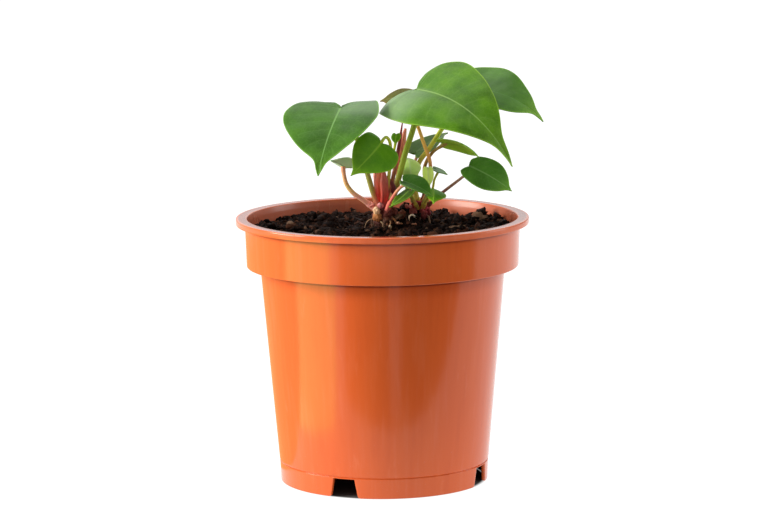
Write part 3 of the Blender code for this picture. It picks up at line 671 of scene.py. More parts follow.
@dataclass
class NurseryPot:
    """The moulded pot with its lip, stepped collar, tapered body and notched foot."""

    height: float = 108.8
    rim_radius: float = 60.0
    rim_inner_radius: float = 55.4
    lip_height: float = 2.5
    collar_top_radius: float = 56.4
    collar_foot_radius: float = 55.7
    collar_foot_z: float = 88.9
    shoulder_radius: float = 50.2
    foot_line_z: float = 8.3
    foot_line_radius: float = 43.1
    foot_radius: float = 42.6
    foot_step: float = 0.5
    wall: float = 1.5
    notch_height: float = 7.8
    notch_top_width: float = 9.0
    notch_foot_width: float = 11.84
    foot_corner: float = 1.0
    foot_bevel: float = 0.22
    rounding_steps: int = 5
    sides: int = 288
    arc_grid: tuple[int, int] = (64, 14)
    finish: PlasticFinish = field(default_factory=lambda: PlasticFinish("terracotta_plastic"))

    def body_radius(self, height: float) -> float:
        """Outside radius of the tapered body at a height."""
        share = (height - self.foot_line_z) / (self.collar_foot_z - self.foot_line_z)
        return self.foot_line_radius + (self.shoulder_radius - self.foot_line_radius) * share

    def collar_radius(self, height: float) -> float:
        """Outside radius of the collar at a height."""
        share = (height - self.collar_foot_z) / (self.height - self.collar_foot_z)
        return self.collar_foot_radius + (self.collar_top_radius - self.collar_foot_radius) * share

    def profile(self) -> list[Vector]:
        """The wall's section as (radius, height) points, from the floor's middle round to its underside."""
        floor_top = self.foot_line_z + self.wall
        shelf_top = self.collar_foot_z + self.wall
        lip_foot = self.height - self.lip_height
        corners = (
            (0.0, floor_top, 0.0),
            (self.body_radius(floor_top) - self.wall, floor_top, 1.0),
            (self.body_radius(shelf_top) - self.wall, shelf_top, 0.8),
            (self.collar_foot_radius - self.wall, shelf_top, 0.8),
            (self.rim_inner_radius - 0.4, lip_foot, 0.4),
            (self.rim_inner_radius, self.height, 0.5),
            (self.rim_radius, self.height, 0.55),
            (self.rim_radius, lip_foot, 0.4),
            (self.collar_radius(lip_foot), lip_foot, 0.4),
            (self.collar_foot_radius, self.collar_foot_z, 0.5),
            (self.shoulder_radius, self.collar_foot_z, 0.6),
            (self.foot_line_radius, self.foot_line_z + self.foot_step, 0.3),
            (self.foot_line_radius - self.foot_step, self.foot_line_z, 0.1),
            (self.foot_edge(self.notch_height), self.foot_line_z - 0.25, 0.1),
            (self.foot_edge(self.notch_height), self.notch_height, 0.0),
            (self.foot_edge(self.notch_height) - self.wall, self.notch_height, 0.0),
            (self.foot_edge(self.notch_height) - self.wall, self.foot_line_z, 0.0),
            (0.0, self.foot_line_z, 0.0),
        )
        points = []
        for index, (radius, height, rounding) in enumerate(corners):
            corner = Vector((radius, height))
            if not rounding:
                points.append(corner)
                continue
            ends = []
            for neighbour in (corners[index - 1], corners[index + 1]):
                leg = Vector(neighbour[:2]) - corner
                ends.append(corner + leg.normalized() * min(rounding, leg.length / 2))
            for step in range(self.rounding_steps + 1):
                t = step / self.rounding_steps
                points.append(ends[0] * (1 - t) ** 2 + corner * 2 * t * (1 - t) + ends[1] * t * t)
        return points

    def foot_edge(self, height: float) -> float:
        """Outside radius of the foot band at a height."""
        top = self.foot_line_radius - self.foot_step / 4
        return self.foot_radius + (top - self.foot_radius) * height / self.foot_line_z

    def shell(self) -> Mesh:
        """The pot above the notches, spun from its section."""
        bm = spun(self.profile(), self.sides)
        bmesh.ops.recalc_face_normals(bm, faces=bm.faces)
        return bm

    def foot_arc(self, quarter: int) -> Mesh:
        """One of the four curved pieces of the foot band between two notches."""
        bm = bmesh.new()
        bmesh.ops.create_grid(bm, x_segments=self.arc_grid[0], y_segments=self.arc_grid[1], size=1.0)
        for vert in bm.verts:
            rise = ((vert.co.y + 1) / 2) ** 1.5
            height = rise * self.notch_height
            radius = self.foot_edge(height)
            half = (self.notch_foot_width + (self.notch_top_width - self.notch_foot_width) * rise) / 2
            half += self.foot_corner * (1 - math.sqrt(1 - max(0.0, 1 - height / self.foot_corner) ** 2))
            edge = math.asin(half / radius)
            turn = math.radians(90 * quarter + 45) + vert.co.x * (math.pi / 4 - edge)
            vert.co = Vector((math.cos(turn) * radius, math.sin(turn) * radius, height)) * MM
        bmesh.ops.recalc_face_normals(bm, faces=bm.faces)
        bm.normal_update()
        if bm.faces[:][0].normal.dot(bm.faces[:][0].calc_center_median()) < 0:
            bmesh.ops.reverse_faces(bm, faces=bm.faces)
        bmesh.ops.solidify(bm, geom=bm.faces[:], thickness=self.wall * MM)
        bmesh.ops.recalc_face_normals(bm, faces=bm.faces)
        top = (self.notch_height - 0.05) * MM
        edges = [edge for edge in bm.edges
                 if edge.calc_face_angle(0.0) > 0.9 and not all(vert.co.z > top for vert in edge.verts)]
        bmesh.ops.bevel(bm, geom=edges, offset=self.foot_bevel * MM, segments=2, profile=0.5,
                        affect="EDGES", material=-1)
        return bm

    def build(self) -> None:
        """Makes the pot's piece."""
        whole = gather([self.shell(), *(self.foot_arc(quarter) for quarter in range(4))], "pot")
        add_piece("pot_shell", whole, [self.finish.material()], ["pot"], 35.0)


# The soil


@dataclass
class PottingSoil:
    """The peat: a lumpy bed with crumbs, clods and fibres on it.

    `heaps` are (right, away, radius, height), and `marks` the place, half sizes and tint of single bits.
    """

    pot: NurseryPot
    level: float = 102.8
    depth: float = 10.0
    lump_height: float = 1.3
    lump_size: float = 5.5
    crumb_share: float = 0.5
    crumb_layer: float = 100.0
    mound_place: Pair = (10.0, 12.0)
    mound_radius: float = 15.0
    mound_height: float = 8.0
    mound_flare: float = 1.5
    rings: int = 150
    sides: int = 420
    heaps: tuple = (
        (42.0, 30.0, 6.0, 2.2), (49.0, 19.0, 5.0, 2.0), (-31.0, 38.0, 7.0, 1.6), (-45.0, 22.0, 6.0, 1.0),
        (-14.0, 24.0, 8.0, 1.2), (26.0, 38.0, 5.0, 1.0), (-20.0, -8.0, 7.0, 0.8), (10.5, 4.5, 4.6, 1.2),
        (15.5, 5.5, 3.4, 0.4), (4.4, 1.8, 2.6, 1.6),
    )
    crumb_size: float = 2.6
    grain_size: float = 1.2
    crumbs: int = 2150
    clods: int = 430
    splinters: int = 120
    fibres: int = 200
    patterns: int = 8
    stretches: tuple[Pair, Pair, Pair] = ((0.9, 1.7), (0.5, 0.9), (0.35, 0.8))
    marks: tuple = (
        ((-37.5, 1.0, 104.8), (2.3, 1.5, 1.2), 0.84), ((-24.5, -14.0, 104.2), (1.5, 0.6, 0.4), 0.99),
        ((-21.5, -15.0, 104.0), (1.2, 0.5, 0.4), 0.97), ((29.5, -3.0, 104.6), (2.4, 1.2, 0.5), 0.98),
        ((32.5, 0.0, 104.6), (1.6, 0.9, 0.4), 0.985), ((22.0, 12.0, 105.2), (1.5, 0.8, 0.6), 0.96),
        ((-6.0, -10.0, 104.4), (0.9, 0.6, 0.5), 0.97), ((48.5, 12.0, 105.0), (1.4, 0.8, 0.6), 0.96),
    )
    seed: int = 11
    finish: PeatFinish = field(default_factory=lambda: PeatFinish("moist_peat"))

    @property
    def edge(self) -> float:
        """Radius of the soil's top."""
        return self.pot.collar_radius(self.level) - self.pot.wall - 0.15

    def height(self, place: Vector) -> float:
        """Height of the bed without its crumbs over a (right, away) place."""
        flat = Vector((place.x, place.y, 0.0))
        distance = math.dist(place[:2], self.mound_place) / self.mound_radius
        mound = self.mound_height * max(0.0, 1 - distance * distance) ** self.mound_flare
        lumps = noise.noise(flat / self.lump_size) * self.lump_height
        for right, back, radius, high in self.heaps:
            mound += high * math.exp(-((place.x - right) ** 2 + (place.y - back) ** 2) / radius ** 2)
        layer = Vector((0.0, 0.0, self.crumb_layer))
        crumbs = noise.noise((flat + layer) / (self.lump_size * self.crumb_share))
        return self.level + mound + lumps + crumbs * self.lump_height * self.crumb_share

    def crumbly(self, place: Vector) -> float:
        """How far the crumbly top stands over the bed at a (right, away) place."""
        flat = Vector((place.x, place.y, 0.0))
        near = noise.voronoi(flat / self.crumb_size)[0][0]
        small = noise.voronoi(flat / self.grain_size + Vector((9.0, 4.0, 0.0)))[0][0]
        return (0.42 - near) * 1.5 + (0.4 - small) * 0.7 + noise.noise(flat * 1.9) * 0.25

    def bed(self) -> Mesh:
        """The bed, spun from a section and raised into crumbs."""
        section = [(self.edge * ring / self.rings, self.level) for ring in range(self.rings + 1)]
        section += [(self.edge - 1.0, self.level - self.depth), (0.0, self.level - self.depth)]
        bm = spun(section, self.sides)
        back = FRONT.transposed()
        for vert in bm.verts:
            if vert.co.z > (self.level - 1.0) * MM:
                place = back @ vert.co / MM
                vert.co.z = (self.height(place) + self.crumbly(place)) * MM
        bmesh.ops.recalc_face_normals(bm, faces=bm.faces)
        return bm

    def crumb_shapes(self) -> list[Mesh]:
        """Uneven little lumps of about one millimetre, as patterns for the crumbs."""
        shapes = []
        for index in range(self.patterns):
            bm = bmesh.new()
            bmesh.ops.create_icosphere(bm, subdivisions=2, radius=1.0)
            for vert in bm.verts:
                push = noise.noise(vert.co * 1.3 + Vector((index * 7.0, 3.0, 1.0)))
                pit = noise.noise(vert.co * 3.1 + Vector((index * 5.0, 8.0, 2.0)))
                vert.co *= 1.0 + push * 0.95 + pit * 0.75
            shapes.append(bm)
        return shapes

    def scattered(self, count: int, sizes: Pair, seed: int) -> Mesh:
        """Crumbs strewn over the bed.

        Args:
            count: how many.
            sizes: the smallest and the largest half size.
            seed: the seed of their places.

        Returns:
            The bmesh of all of them.
        """
        rng = random.Random(seed)
        shapes = self.crumb_shapes()
        whole = bmesh.new()
        tint = whole.verts.layers.float.new("tint")
        for _ in range(count):
            radius = (self.edge - 0.8) * math.sqrt(rng.random())
            turn = rng.random() * math.tau
            place = Vector((radius * math.cos(turn), radius * math.sin(turn), 0.0))
            size = sizes[0] + (sizes[1] - sizes[0]) * rng.random() ** 2.4
            size = min(size, self.edge - radius + 0.1) if radius > self.edge - sizes[1] else size
            place.z = self.height(place) + self.crumbly(place) + size * rng.uniform(-0.25, 0.55)
            stretch = Matrix.Diagonal((*(rng.uniform(*ends) for ends in self.stretches), 1.0))
            matrix = (Matrix.Translation(seen(place)) @ Matrix.Rotation(rng.random() * math.tau, 4, "Z")
                      @ Matrix.Rotation(rng.uniform(-0.8, 0.8), 4, "Y") @ stretch
                      @ Matrix.Scale(size * MM, 4))
            mesh = bpy.data.meshes.new("crumb")
            shapes[rng.randrange(len(shapes))].to_mesh(mesh)
            mesh.transform(matrix)
            before = len(whole.verts)
            whole.from_mesh(mesh)
            bpy.data.meshes.remove(mesh)
            whole.verts.ensure_lookup_table()
            value = rng.random()
            for index in range(before, len(whole.verts)):
                whole.verts[index][tint] = value
        for shape in shapes:
            shape.free()
        return whole

    def strands(self, count: int, lengths: Pair, widths: Pair, tints: Pair, sides: int,
                seed: int) -> Mesh:
        """Peat fibres or splinters that lie across the crumbs.

        Args:
            count: how many.
            lengths: the shortest and the longest.
            widths: the thinnest and the thickest half width.
            tints: the lowest and the highest tint.
            sides: how many sides each has.
            seed: the seed of their places.

        Returns:
            The bmesh of all of them.
        """
        rng = random.Random(seed)
        parts = []
        for _ in range(count):
            radius = (self.edge - lengths[1]) * math.sqrt(rng.random())
            turn = rng.random() * math.tau
            start = Vector((radius * math.cos(turn), radius * math.sin(turn), 0.0))
            heading = rng.random() * math.tau
            length = rng.uniform(*lengths)
            width = rng.uniform(*widths)
            points = []
            for step in range(4):
                spot = start + Vector((math.cos(heading), math.sin(heading), 0.0)) * length * (step / 3 - 0.5)
                spot.z = self.height(spot) + self.crumbly(spot) + width + rng.uniform(0.0, 1.0)
                points.append(seen(spot))
                heading += rng.uniform(-0.4, 0.4)
            line = smooth_line(points, 3)
            radii = [width * (0.35 + 0.65 * math.sin(math.pi * (0.12 + 0.76 * share)))
                     * rng.uniform(0.75, 1.2) for share in shares(line)]
            parts.append(stained(swept(line, radii, sides, 0.7), rng.uniform(*tints)))
        return gather(parts, "fibre")

    def chips(self) -> Mesh:
        """The few larger bits that stand out: a brown pebble, pale husks and flakes."""
        return gather((stained(lump(seen(place), radii, 0.25, 0.9, 4, place[0]), value)
                       for place, radii, value in self.marks), "chip")

    def build(self) -> None:
        """Makes the soil's pieces."""
        material = self.finish.material()
        add_piece("soil_bed", self.bed(), [material], ["soil"], 180.0)
        seed = self.seed
        for name, shape in (
            ("soil_crumbs", self.scattered(self.crumbs, (0.4, 1.3), seed)),
            ("soil_clods", self.scattered(self.clods, (1.0, 2.9), seed + 1)),
            ("soil_splinters",
             self.strands(self.splinters, (3.5, 9.0), (0.35, 0.95), (0.0, 0.8), 7, seed + 2)),
            ("soil_fibres",
             self.strands(self.fibres, (2.5, 8.0), (0.07, 0.16), (0.5, 0.955), 4, seed + 3)),
            ("soil_chips", self.chips()),
        ):
            add_piece(name, shape, [material], (), 180.0)


# The leaves


# Half a blade's margin from the notch round to the tip: shares of the width, the lobe and the length
BLADE_OUTLINE = (
    (0.0, 0.0, 0.0), (0.1, 0.42, 0.0), (0.28, 0.86, 0.0), (0.5, 1.0, 0.0), (0.73, 0.88, 0.03),
    (0.91, 0.5, 0.11), (1.0, 0.12, 0.23), (0.98, 0.0, 0.36), (0.86, 0.0, 0.5), (0.66, 0.0, 0.64),
    (0.42, 0.0, 0.77), (0.21, 0.0, 0.87), (0.08, 0.0, 0.945), (0.0, 0.0, 1.0),
)


@dataclass
class Blade:
    """One blade: where its stalk meets it, how it is turned, and how it is bent.

    `heading` is the way the tip points (0 right, 90 away, -90 to the front), `dip` how far it points
    down, and `bank` how far its right half is lowered. The pairs give the left and the right half, seen
    along the midrib: `half` widths, `fold` up from the midrib, further `curl` down to the margin and
    `lift` of the lobe's end; `lobe` is how far each lobe reaches back past the stalk.
    """

    name: str
    at: Place
    heading: float
    dip: float
    bank: float
    length: float
    half: Pair
    lobe: Pair
    finish: LeafFinish
    droop: float = 20.0
    sweep: float = 0.0
    taper: float = 1.1
    fold: Pair = (8.0, 8.0)
    curl: Pair = (10.0, 10.0)
    lift: Pair = (0.0, 0.0)
    tip: float = 0.8
    wave: float = 0.35
    rows: int = 96
    columns: int = 24
    outline_steps: int = 12
    midrib_start: float = 0.36
    rib_spread: float = 1.15
    droop_power: float = 1.3
    bend_steps: int = 24
    margin_half: float = 0.17
    middle_half: float = 0.3
    thinning: float = 3.0
    ridges: Pair = (0.42, 0.1)
    quilting: float = 0.035
    swell: float = 0.55

    @staticmethod
    def turned_by(distance: float, start: float, total: float, span: float) -> Pair:
        """How far out and up a line reaches that starts at one slope and turns evenly over its span."""
        angle = math.radians(start)
        rate = math.radians(total) / span
        if abs(rate) < 1e-6:
            return distance * math.cos(angle), distance * math.sin(angle)
        end = angle + rate * distance
        return (math.sin(end) - math.sin(angle)) / rate, (math.cos(angle) - math.cos(end)) / rate

    def midrib_point(self, distance: float) -> tuple[float, float, float]:
        """How far along and up the midrib is at a distance from the stalk, and its slope in radians."""
        steps = self.bend_steps
        droop = math.radians(self.droop)
        reach, drop = 0.0, 0.0
        for step in range(steps):
            slope = droop * ((step + 0.5) / steps * distance / self.length) ** self.droop_power
            reach += math.cos(slope) * distance / steps
            drop += math.sin(slope) * distance / steps
        return reach, -drop, droop * (distance / self.length) ** self.droop_power

    def row(self, place: float, outline: Vector, side: int) -> Pair:
        """Where a row of the blade starts on the midrib and ends at the margin, along the blade."""
        begun = max(0.0, (place - self.midrib_start) / (1 - self.midrib_start))
        start = begun ** self.rib_spread * self.length
        margin = max(0.0, outline.z) ** self.taper * self.length - outline.y * self.lobe[side]
        return start, margin

    def point(self, place: float, outline: Vector, share: float, side: int) -> Vector:
        """A point of the bent blade in its own frame.

        Args:
            place: the row, from the notch at 0 round to the tip at 1.
            outline: the outline's point at that row.
            share: the share of the way out to the margin.
            side: 0 for the left half and 1 for the right half.

        Returns:
            The point, in millimetres from the notch.
        """
        start, margin = self.row(place, outline, side)
        distance = start + share * (margin - start)
        out, up = self.turned_by(share * outline.x * self.half[side], self.fold[side], -self.curl[side],
                                 self.half[side])
        if distance >= 0:
            reach, rise, slope = self.midrib_point(distance)
        else:
            back, rise = self.turned_by(-distance, 0.0, self.lift[side], self.lobe[side])
            reach, slope = -back, math.radians(self.lift[side]) * -distance / self.lobe[side]
        sideways = math.sin(math.radians(self.sweep) * reach / self.length) * reach / 2
        out = out if side else -out
        return Vector((out + sideways, reach + up * math.sin(slope), rise + up * math.cos(slope)))

    def placed(self, point: Vector) -> Vector:
        """A point of the blade's own frame, as a point in metres in the part's frame."""
        turn = (
            Matrix.Rotation(math.radians(FRONT_TURN + self.heading - 90), 3, "Z")
            @ Matrix.Rotation(math.radians(-self.dip), 3, "X")
            @ Matrix.Rotation(math.radians(self.bank), 3, "Y")
        )
        return seen(self.at) + turn @ point * MM

    def shape(self) -> Mesh:
        """The blade as a closed thin body with a ridge under its midrib.

        Returns:
            A bmesh whose points carry "blade", the distance from the midrib, the signed share of the way
            out and the row, and "rib", the share of the way along, the side and the distance to the margin.
        """
        outline = smooth_line([Vector(point) for point in BLADE_OUTLINE], self.outline_steps)
        bm = bmesh.new()
        blade = bm.verts.layers.float_vector.new("blade")
        rib = bm.verts.layers.float_vector.new("rib")
        middle = bm.verts.layers.float_vector.new("middle")
        lean = bm.verts.layers.float_vector.new("lean")
        bmesh.ops.create_grid(bm, x_segments=self.columns * 2, y_segments=self.rows, size=1.0)
        for vert in bm.verts:
            signed, place = vert.co.x, (vert.co.y + 1) / 2
            share, side = abs(signed), int(signed > 0)
            spot = place * (len(outline) - 1)
            first = min(int(spot), len(outline) - 2)
            edge = outline[first].lerp(outline[first + 1], spot - first)
            edge.x *= 1 - (1 - self.tip) * math.exp(-((edge.z - 0.88) / 0.09) ** 2)
            start, margin = self.row(place, edge, side)
            across = share * edge.x * self.half[side]
            forward = start + share * (margin - start)
            vert.co = self.placed(self.point(place, edge, share, side))
            vert[blade] = (across * (1 if side else -1), signed, place)
            width = math.hypot(edge.x * self.half[side], margin - start)
            vert[rib] = (max(0.0, forward) / self.length, 1.0, (1 - share) * width)
        bmesh.ops.remove_doubles(bm, verts=bm.verts, dist=0.02 * MM)
        self.ruffle(bm, blade)
        bm.normal_update()
        up = (self.placed(Vector((0, 0, 1))) - self.placed(Vector())).normalized()
        if sum(face.normal.dot(up) * face.calc_area() for face in bm.faces) < 0:
            bmesh.ops.reverse_faces(bm, faces=bm.faces)
            bm.normal_update()
        for vert in bm.verts:
            vert[middle], vert[lean] = vert.co, vert.normal
        made = bmesh.ops.extrude_face_region(bm, geom=bm.faces[:])["geom"]
        raised = {item for item in made if isinstance(item, bmesh.types.BMVert)}
        for vert in bm.verts:
            upper = vert in raised
            across = vert[blade].x
            reach, _, margin = vert[rib]
            inner = min(1.0, margin / self.thinning)
            thick = self.margin_half + (self.middle_half - self.margin_half) * inner
            ridge = math.exp(-(across / (0.75 - 0.45 * reach)) ** 2) * (1.0 - 0.7 * reach)
            thick += ridge * self.ridges[upper]
            vert.co = vert[middle] + vert[lean] * thick * (MM if upper else -MM)
            vert[rib] = (reach, 1.0 if upper else -1.0, margin)
        for name in ("middle", "lean"):
            bm.verts.layers.float_vector.remove(bm.verts.layers.float_vector[name])
        bmesh.ops.recalc_face_normals(bm, faces=bm.faces)
        return bm

    def ruffle(self, bm: Mesh, blade: bmesh.types.BMLayerItem) -> None:
        """Gives the middle surface its quilting between the side veins, swells and an uneven margin.

        Args:
            bm: the middle surface.
            blade: the layer of the points' places on the blade.
        """
        bm.normal_update()
        size = min(1.0, self.length / 30.0)
        moves = {}
        for vert in bm.verts:
            _, signed, place = vert[blade]
            out = abs(signed)
            beat = (place - out * out * VEIN_SWEEP) * VEIN_COUNT + math.copysign(VEIN_SHIFT, signed)
            quilt = -math.cos(math.tau * (beat - 0.5)) * self.quilting * out * (1 - out) * 4
            margin = noise.noise(vert.co / (9.0 * MM)) * self.wave * out * out * 2.2
            swell = noise.noise(vert.co / (12.0 * MM) + Vector((3.0, 7.0, 1.0))) * self.swell
            swell *= min(1.0, out * 2.5)
            moves[vert] = vert.normal * (quilt + margin + swell) * size * MM
        for vert, move in moves.items():
            vert.co += move

    def build(self) -> None:
        """Makes the blade's piece."""
        add_piece("blade_" + self.name, self.shape(), [material_of(self.finish)],
                  ["leaf_" + self.name], 60.0)


# The stalks


@dataclass
class Stalk:
    """One stalk or sheath, from inside its crown out to its leaf, with its joint under the blade.

    `radii` are its foot's and its head's, `rooted` is how much of it the crown holds, and each of its
    `flaps` is a route, the half widths at its ends and a finish.
    """

    name: str
    crown: str
    route: tuple[Place, ...]
    radii: Pair
    finish: StalkFinish
    flaps: tuple = ()
    rooted: float = 7.0
    oval: float = 0.92
    joint_inset: float = 1.3
    joint_drop: float = 0.4
    sides: int = 20
    step: float = 0.45
    sheath_lip: float = 0.8

    @property
    def node(self) -> str:
        """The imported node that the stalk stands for."""
        return self.name if self.name.startswith("sheath") else "stalk_" + self.name

    def line(self, blade: Blade | None) -> list[Vector]:
        """The stalk's whole middle line, up to its blade's joint."""
        route = [seen(place) for place in self.route]
        if blade:
            route.append(blade.placed(Vector((0, self.joint_inset, -self.joint_drop))))
        return smooth_line(route, 12)

    @staticmethod
    def radius_between(ends: Pair, share: float) -> float:
        """The half width of a pointed flap at a share of the way along."""
        start = math.sqrt(min(1.0, 0.12 + share / 0.2))
        return (ends[0] + (ends[1] - ends[0]) * share) * start * (1.0 - 0.7 * max(0.0, share - 0.7) / 0.3)

    def radius(self, share: float, carries: bool) -> float:
        """The stalk's radius at a share of the way along, with the swelling of its joint."""
        radius = self.radii[0] + (self.radii[1] - self.radii[0]) * share
        if not carries:
            return radius * (1.0 - 0.72 * max(0.0, share - 0.75) / 0.25)
        swell = math.exp(-((share - 0.93) / 0.055) ** 2) * 0.22
        return radius * (1.0 + swell + 0.12 * math.exp(-(share / 0.05) ** 2))

    def build(self, blade: Blade | None) -> None:
        """Makes the stalk's piece.

        Args:
            blade: the blade that it carries, or nothing for a sheath.
        """
        start = (self.rooted - self.sheath_lip) * MM
        points = stretch_of(self.line(blade), start, math.inf, self.step * MM)
        radii = [self.radius(share, blade is not None) for share in shares(points)]
        parts = [swept(points, radii, self.sides, self.oval)]
        materials = [material_of(self.finish)]
        for route, ends, finish in self.flaps:
            curve = smooth_line([seen(place) for place in route], 8)
            side = stretch_of(curve, 0.0, math.inf, self.step * MM)
            widths = [self.radius_between(ends, share) for share in shares(side)]
            parts.append(swept(side, widths, self.sides, 0.6))
            if material_of(finish) not in materials:
                materials.append(material_of(finish))
            for face in parts[-1].faces:
                face.material_index = materials.index(material_of(finish))
        bm = gather(parts, self.name)
        name = self.name if self.name.startswith("sheath") else "petiole_" + self.name
        add_piece(name + "_skin", bm, materials, [self.node])


def stalks_of(crown: str, rooted: float, rows: Sequence[tuple]) -> tuple[Stalk, ...]:
    """The stalks of one crown.

    Args:
        crown: the crown's name.
        rooted: how long their sheathed starts are.
        rows: each stalk's name, route, radii, finish and, if it is a sheath with any, its flaps.

    Returns:
        The stalks.
    """
    return tuple(Stalk(name, crown, *rest, rooted=rooted) for name, *rest in rows)


# The crowns


@dataclass
class Crown:
    """A crown: its scarred body, the sheathed starts of its stalks, its lumps, roots and dry fibres.

    Each of its `lumps` is a heart, half sizes and a low and a high colour, and each of its `roots` a route,
    the radii at its ends and a first and a last colour.
    """

    name: str
    heart: Place
    radii: Place
    body_low: Colour = (0.035, 0.01, 0.005)
    body_high: Colour = (0.2, 0.03, 0.022)
    lumps: tuple = ()
    roots: tuple = ()
    hair_colours: tuple = ((0.22, 0.11, 0.06), (0.14, 0.05, 0.03), (0.4, 0.24, 0.13), (0.06, 0.025, 0.015))
    hairs: int = 30
    seed: int = 3

    def body(self) -> Mesh:
        """The crown's own egg, with rings of old scars."""
        bm = lump(seen(self.heart), self.radii, 1.3, 1.9, 5, 4.0)
        middle = seen(self.heart)
        for vert in bm.verts:
            ring = math.sin((vert.co.z - middle.z) / MM * 2.4) * 0.22
            vert.co += (vert.co - middle).normalized() * ring * MM
        return tinted(bm, self.body_low, self.body_high)

    def starts(self, blades: dict[str, Blade]) -> list[Mesh]:
        """The sheathed starts of the crown's stalks, each on its way to its blade."""
        parts = []
        for stalk in (stalk for stalk in STALKS if stalk.crown == self.name):
            line = stalk.line(blades.get(stalk.name))
            points = stretch_of(line, 0.0, stalk.rooted * MM, 0.4 * MM)
            radii = [stalk.radii[0] * (1.25 - 0.25 * share) + 0.28 - 0.1 * share for share in shares(points)]
            foot = tuple(0.4 * low + 0.6 * high for low, high in zip(self.body_high, stalk.finish.foot))
            parts.append(tinted(swept(points, radii, 18), foot, stalk.finish.foot, "grow"))
        return parts

    def hair(self) -> list[Mesh]:
        """Dry fibres and fine rootlets round the crown's foot."""
        rng = random.Random(self.seed)
        parts = []
        for _ in range(self.hairs):
            turn = rng.random() * math.tau
            way = Vector((math.cos(turn), math.sin(turn), 0.0))
            centre = Vector(self.heart)
            high = centre + way * self.radii[0] * rng.uniform(0.7, 0.95)
            high.z += rng.uniform(-0.8, 0.1) * self.radii[2]
            far = high + way * rng.uniform(0.3, 1.8) + Vector((rng.uniform(-1, 1), rng.uniform(-1, 1), 0.0))
            far.z -= rng.uniform(0.2, 2.0)
            end = far + Vector((rng.uniform(-1.8, 1.8), rng.uniform(-1.8, 1.8), -rng.uniform(0.5, 3.5)))
            line = smooth_line([seen(high), seen(far), seen(end)], 5)
            width = rng.uniform(0.05, 0.13)
            colour = rng.choice(self.hair_colours)
            widths = [width * (1 - 0.5 * index / len(line)) for index in range(len(line))]
            parts.append(tinted(swept(line, widths, 5), colour, colour, "grow"))
        return parts

    def build(self, blades: dict[str, Blade], material: Material) -> None:
        """Makes the crown's piece.

        Args:
            blades: the blades by name.
            material: its finish.
        """
        parts = [self.body(), *self.starts(blades)]
        for heart, radii, low, high in self.lumps:
            parts.append(tinted(lump(seen(heart), radii, 0.28 * sum(radii) / 3, 1.1, 4, heart[0]), low, high))
        for route, radii, low, high in self.roots:
            line = smooth_line([seen(place) for place in route], 8)
            sizes = [(radii[0] + (radii[1] - radii[0]) * share)
                     * (1 + 0.12 * noise.noise(Vector((index * 0.9, radii[0], 0))))
                     for index, share in enumerate(shares(line))]
            parts.append(tinted(swept(line, sizes, 12), low, high, "grow"))
        parts += self.hair()
        whole = gather(parts, self.name)
        add_piece(self.name + "_skin", whole, [material], [self.name], 60.0)


# Finishes of this plant


MATERIALS: dict[str, Material] = {}


def material_of(finish: LeafFinish | StalkFinish) -> Material:
    """A finish's material, made once."""
    if finish.name not in MATERIALS:
        MATERIALS[finish.name] = finish.material()
    return MATERIALS[finish.name]


LEFT_GREEN = LeafFinish(
    "left_blade_green", Slot.LEAF_DEEP, (0.028, 0.102, 0.003), (0.053, 0.156, 0.008), (0.23, 0.44, 0.13),
    (0.24, 0.5, 0.05), (0.1, 0.22, 0.05), tip_glow=0.2, shine=0.16, painted_sheen=(0.26, 0.05))
TOP_GREEN = LeafFinish(
    "top_blade_green", Slot.LEAF_FRESH, (0.048, 0.154, 0.001), (0.088, 0.226, 0.003), (0.34, 0.55, 0.14),
    (0.34, 0.55, 0.06), (0.12, 0.25, 0.05), tip_glow=0.25, shine=0.14, painted_sheen=(0.0, 0.3))
REAR_GREEN = LeafFinish(
    "rear_blade_green", Slot.LEAF_DEEP, (0.047, 0.142, 0.01), (0.082, 0.212, 0.022), (0.12, 0.28, 0.08),
    (0.26, 0.5, 0.04), (0.09, 0.2, 0.05), vein_strength=0.3, tip_glow=0.6, shine=0.14)
DEEP_GREEN = LeafFinish(
    "deep_blade_green", Slot.LEAF_DEEP, (0.045, 0.155, 0.012), (0.08, 0.22, 0.025), (0.24, 0.42, 0.14),
    (0.24, 0.48, 0.05), (0.12, 0.24, 0.06))
SHADE_GREEN = LeafFinish(
    "shade_blade_green", Slot.LEAF_DEEP, (0.022, 0.062, 0.003), (0.045, 0.1, 0.006), (0.07, 0.13, 0.03),
    (0.14, 0.24, 0.03), (0.018, 0.058, 0.006), shine=0.1)
FRESH_GREEN = LeafFinish(
    "fresh_blade_green", Slot.LEAF_FRESH, (0.065, 0.22, 0.001), (0.11, 0.3, 0.004), (0.34, 0.58, 0.05),
    (0.36, 0.62, 0.03), (0.18, 0.36, 0.04), roughness=0.36)
# Grey-green of its own, with an underside painted nearly white: painted light for a leaf that sits in the
# left blade's shadow.
GREY_GREEN = LeafFinish(
    "grey_blade_green", Slot.LEAF_GREY, (0.15, 0.28, 0.13), (0.42, 0.72, 0.36), (0.44, 0.62, 0.38),
    (0.4, 0.6, 0.3), (0.74, 1.0, 0.6), tip_glow=0.0)
PALE_GREEN = LeafFinish(
    "pale_blade_green", Slot.LEAF_PALE, (0.62, 0.92, 0.12), (0.76, 0.96, 0.22), (0.78, 0.92, 0.36),
    (0.7, 0.9, 0.26), (0.62, 0.86, 0.24), tip_glow=0.1, glow=0.2)
# Pale green of its own, painted brighter still: painted light for a leaf that sits in shade.
CURLED_GREEN = LeafFinish(
    "curled_blade_green", Slot.LEAF_PALE, (0.54, 0.84, 0.19), (0.7, 0.94, 0.3), (0.7, 0.88, 0.42),
    (0.62, 0.84, 0.34), (0.5, 0.76, 0.26), tip_glow=0.0)
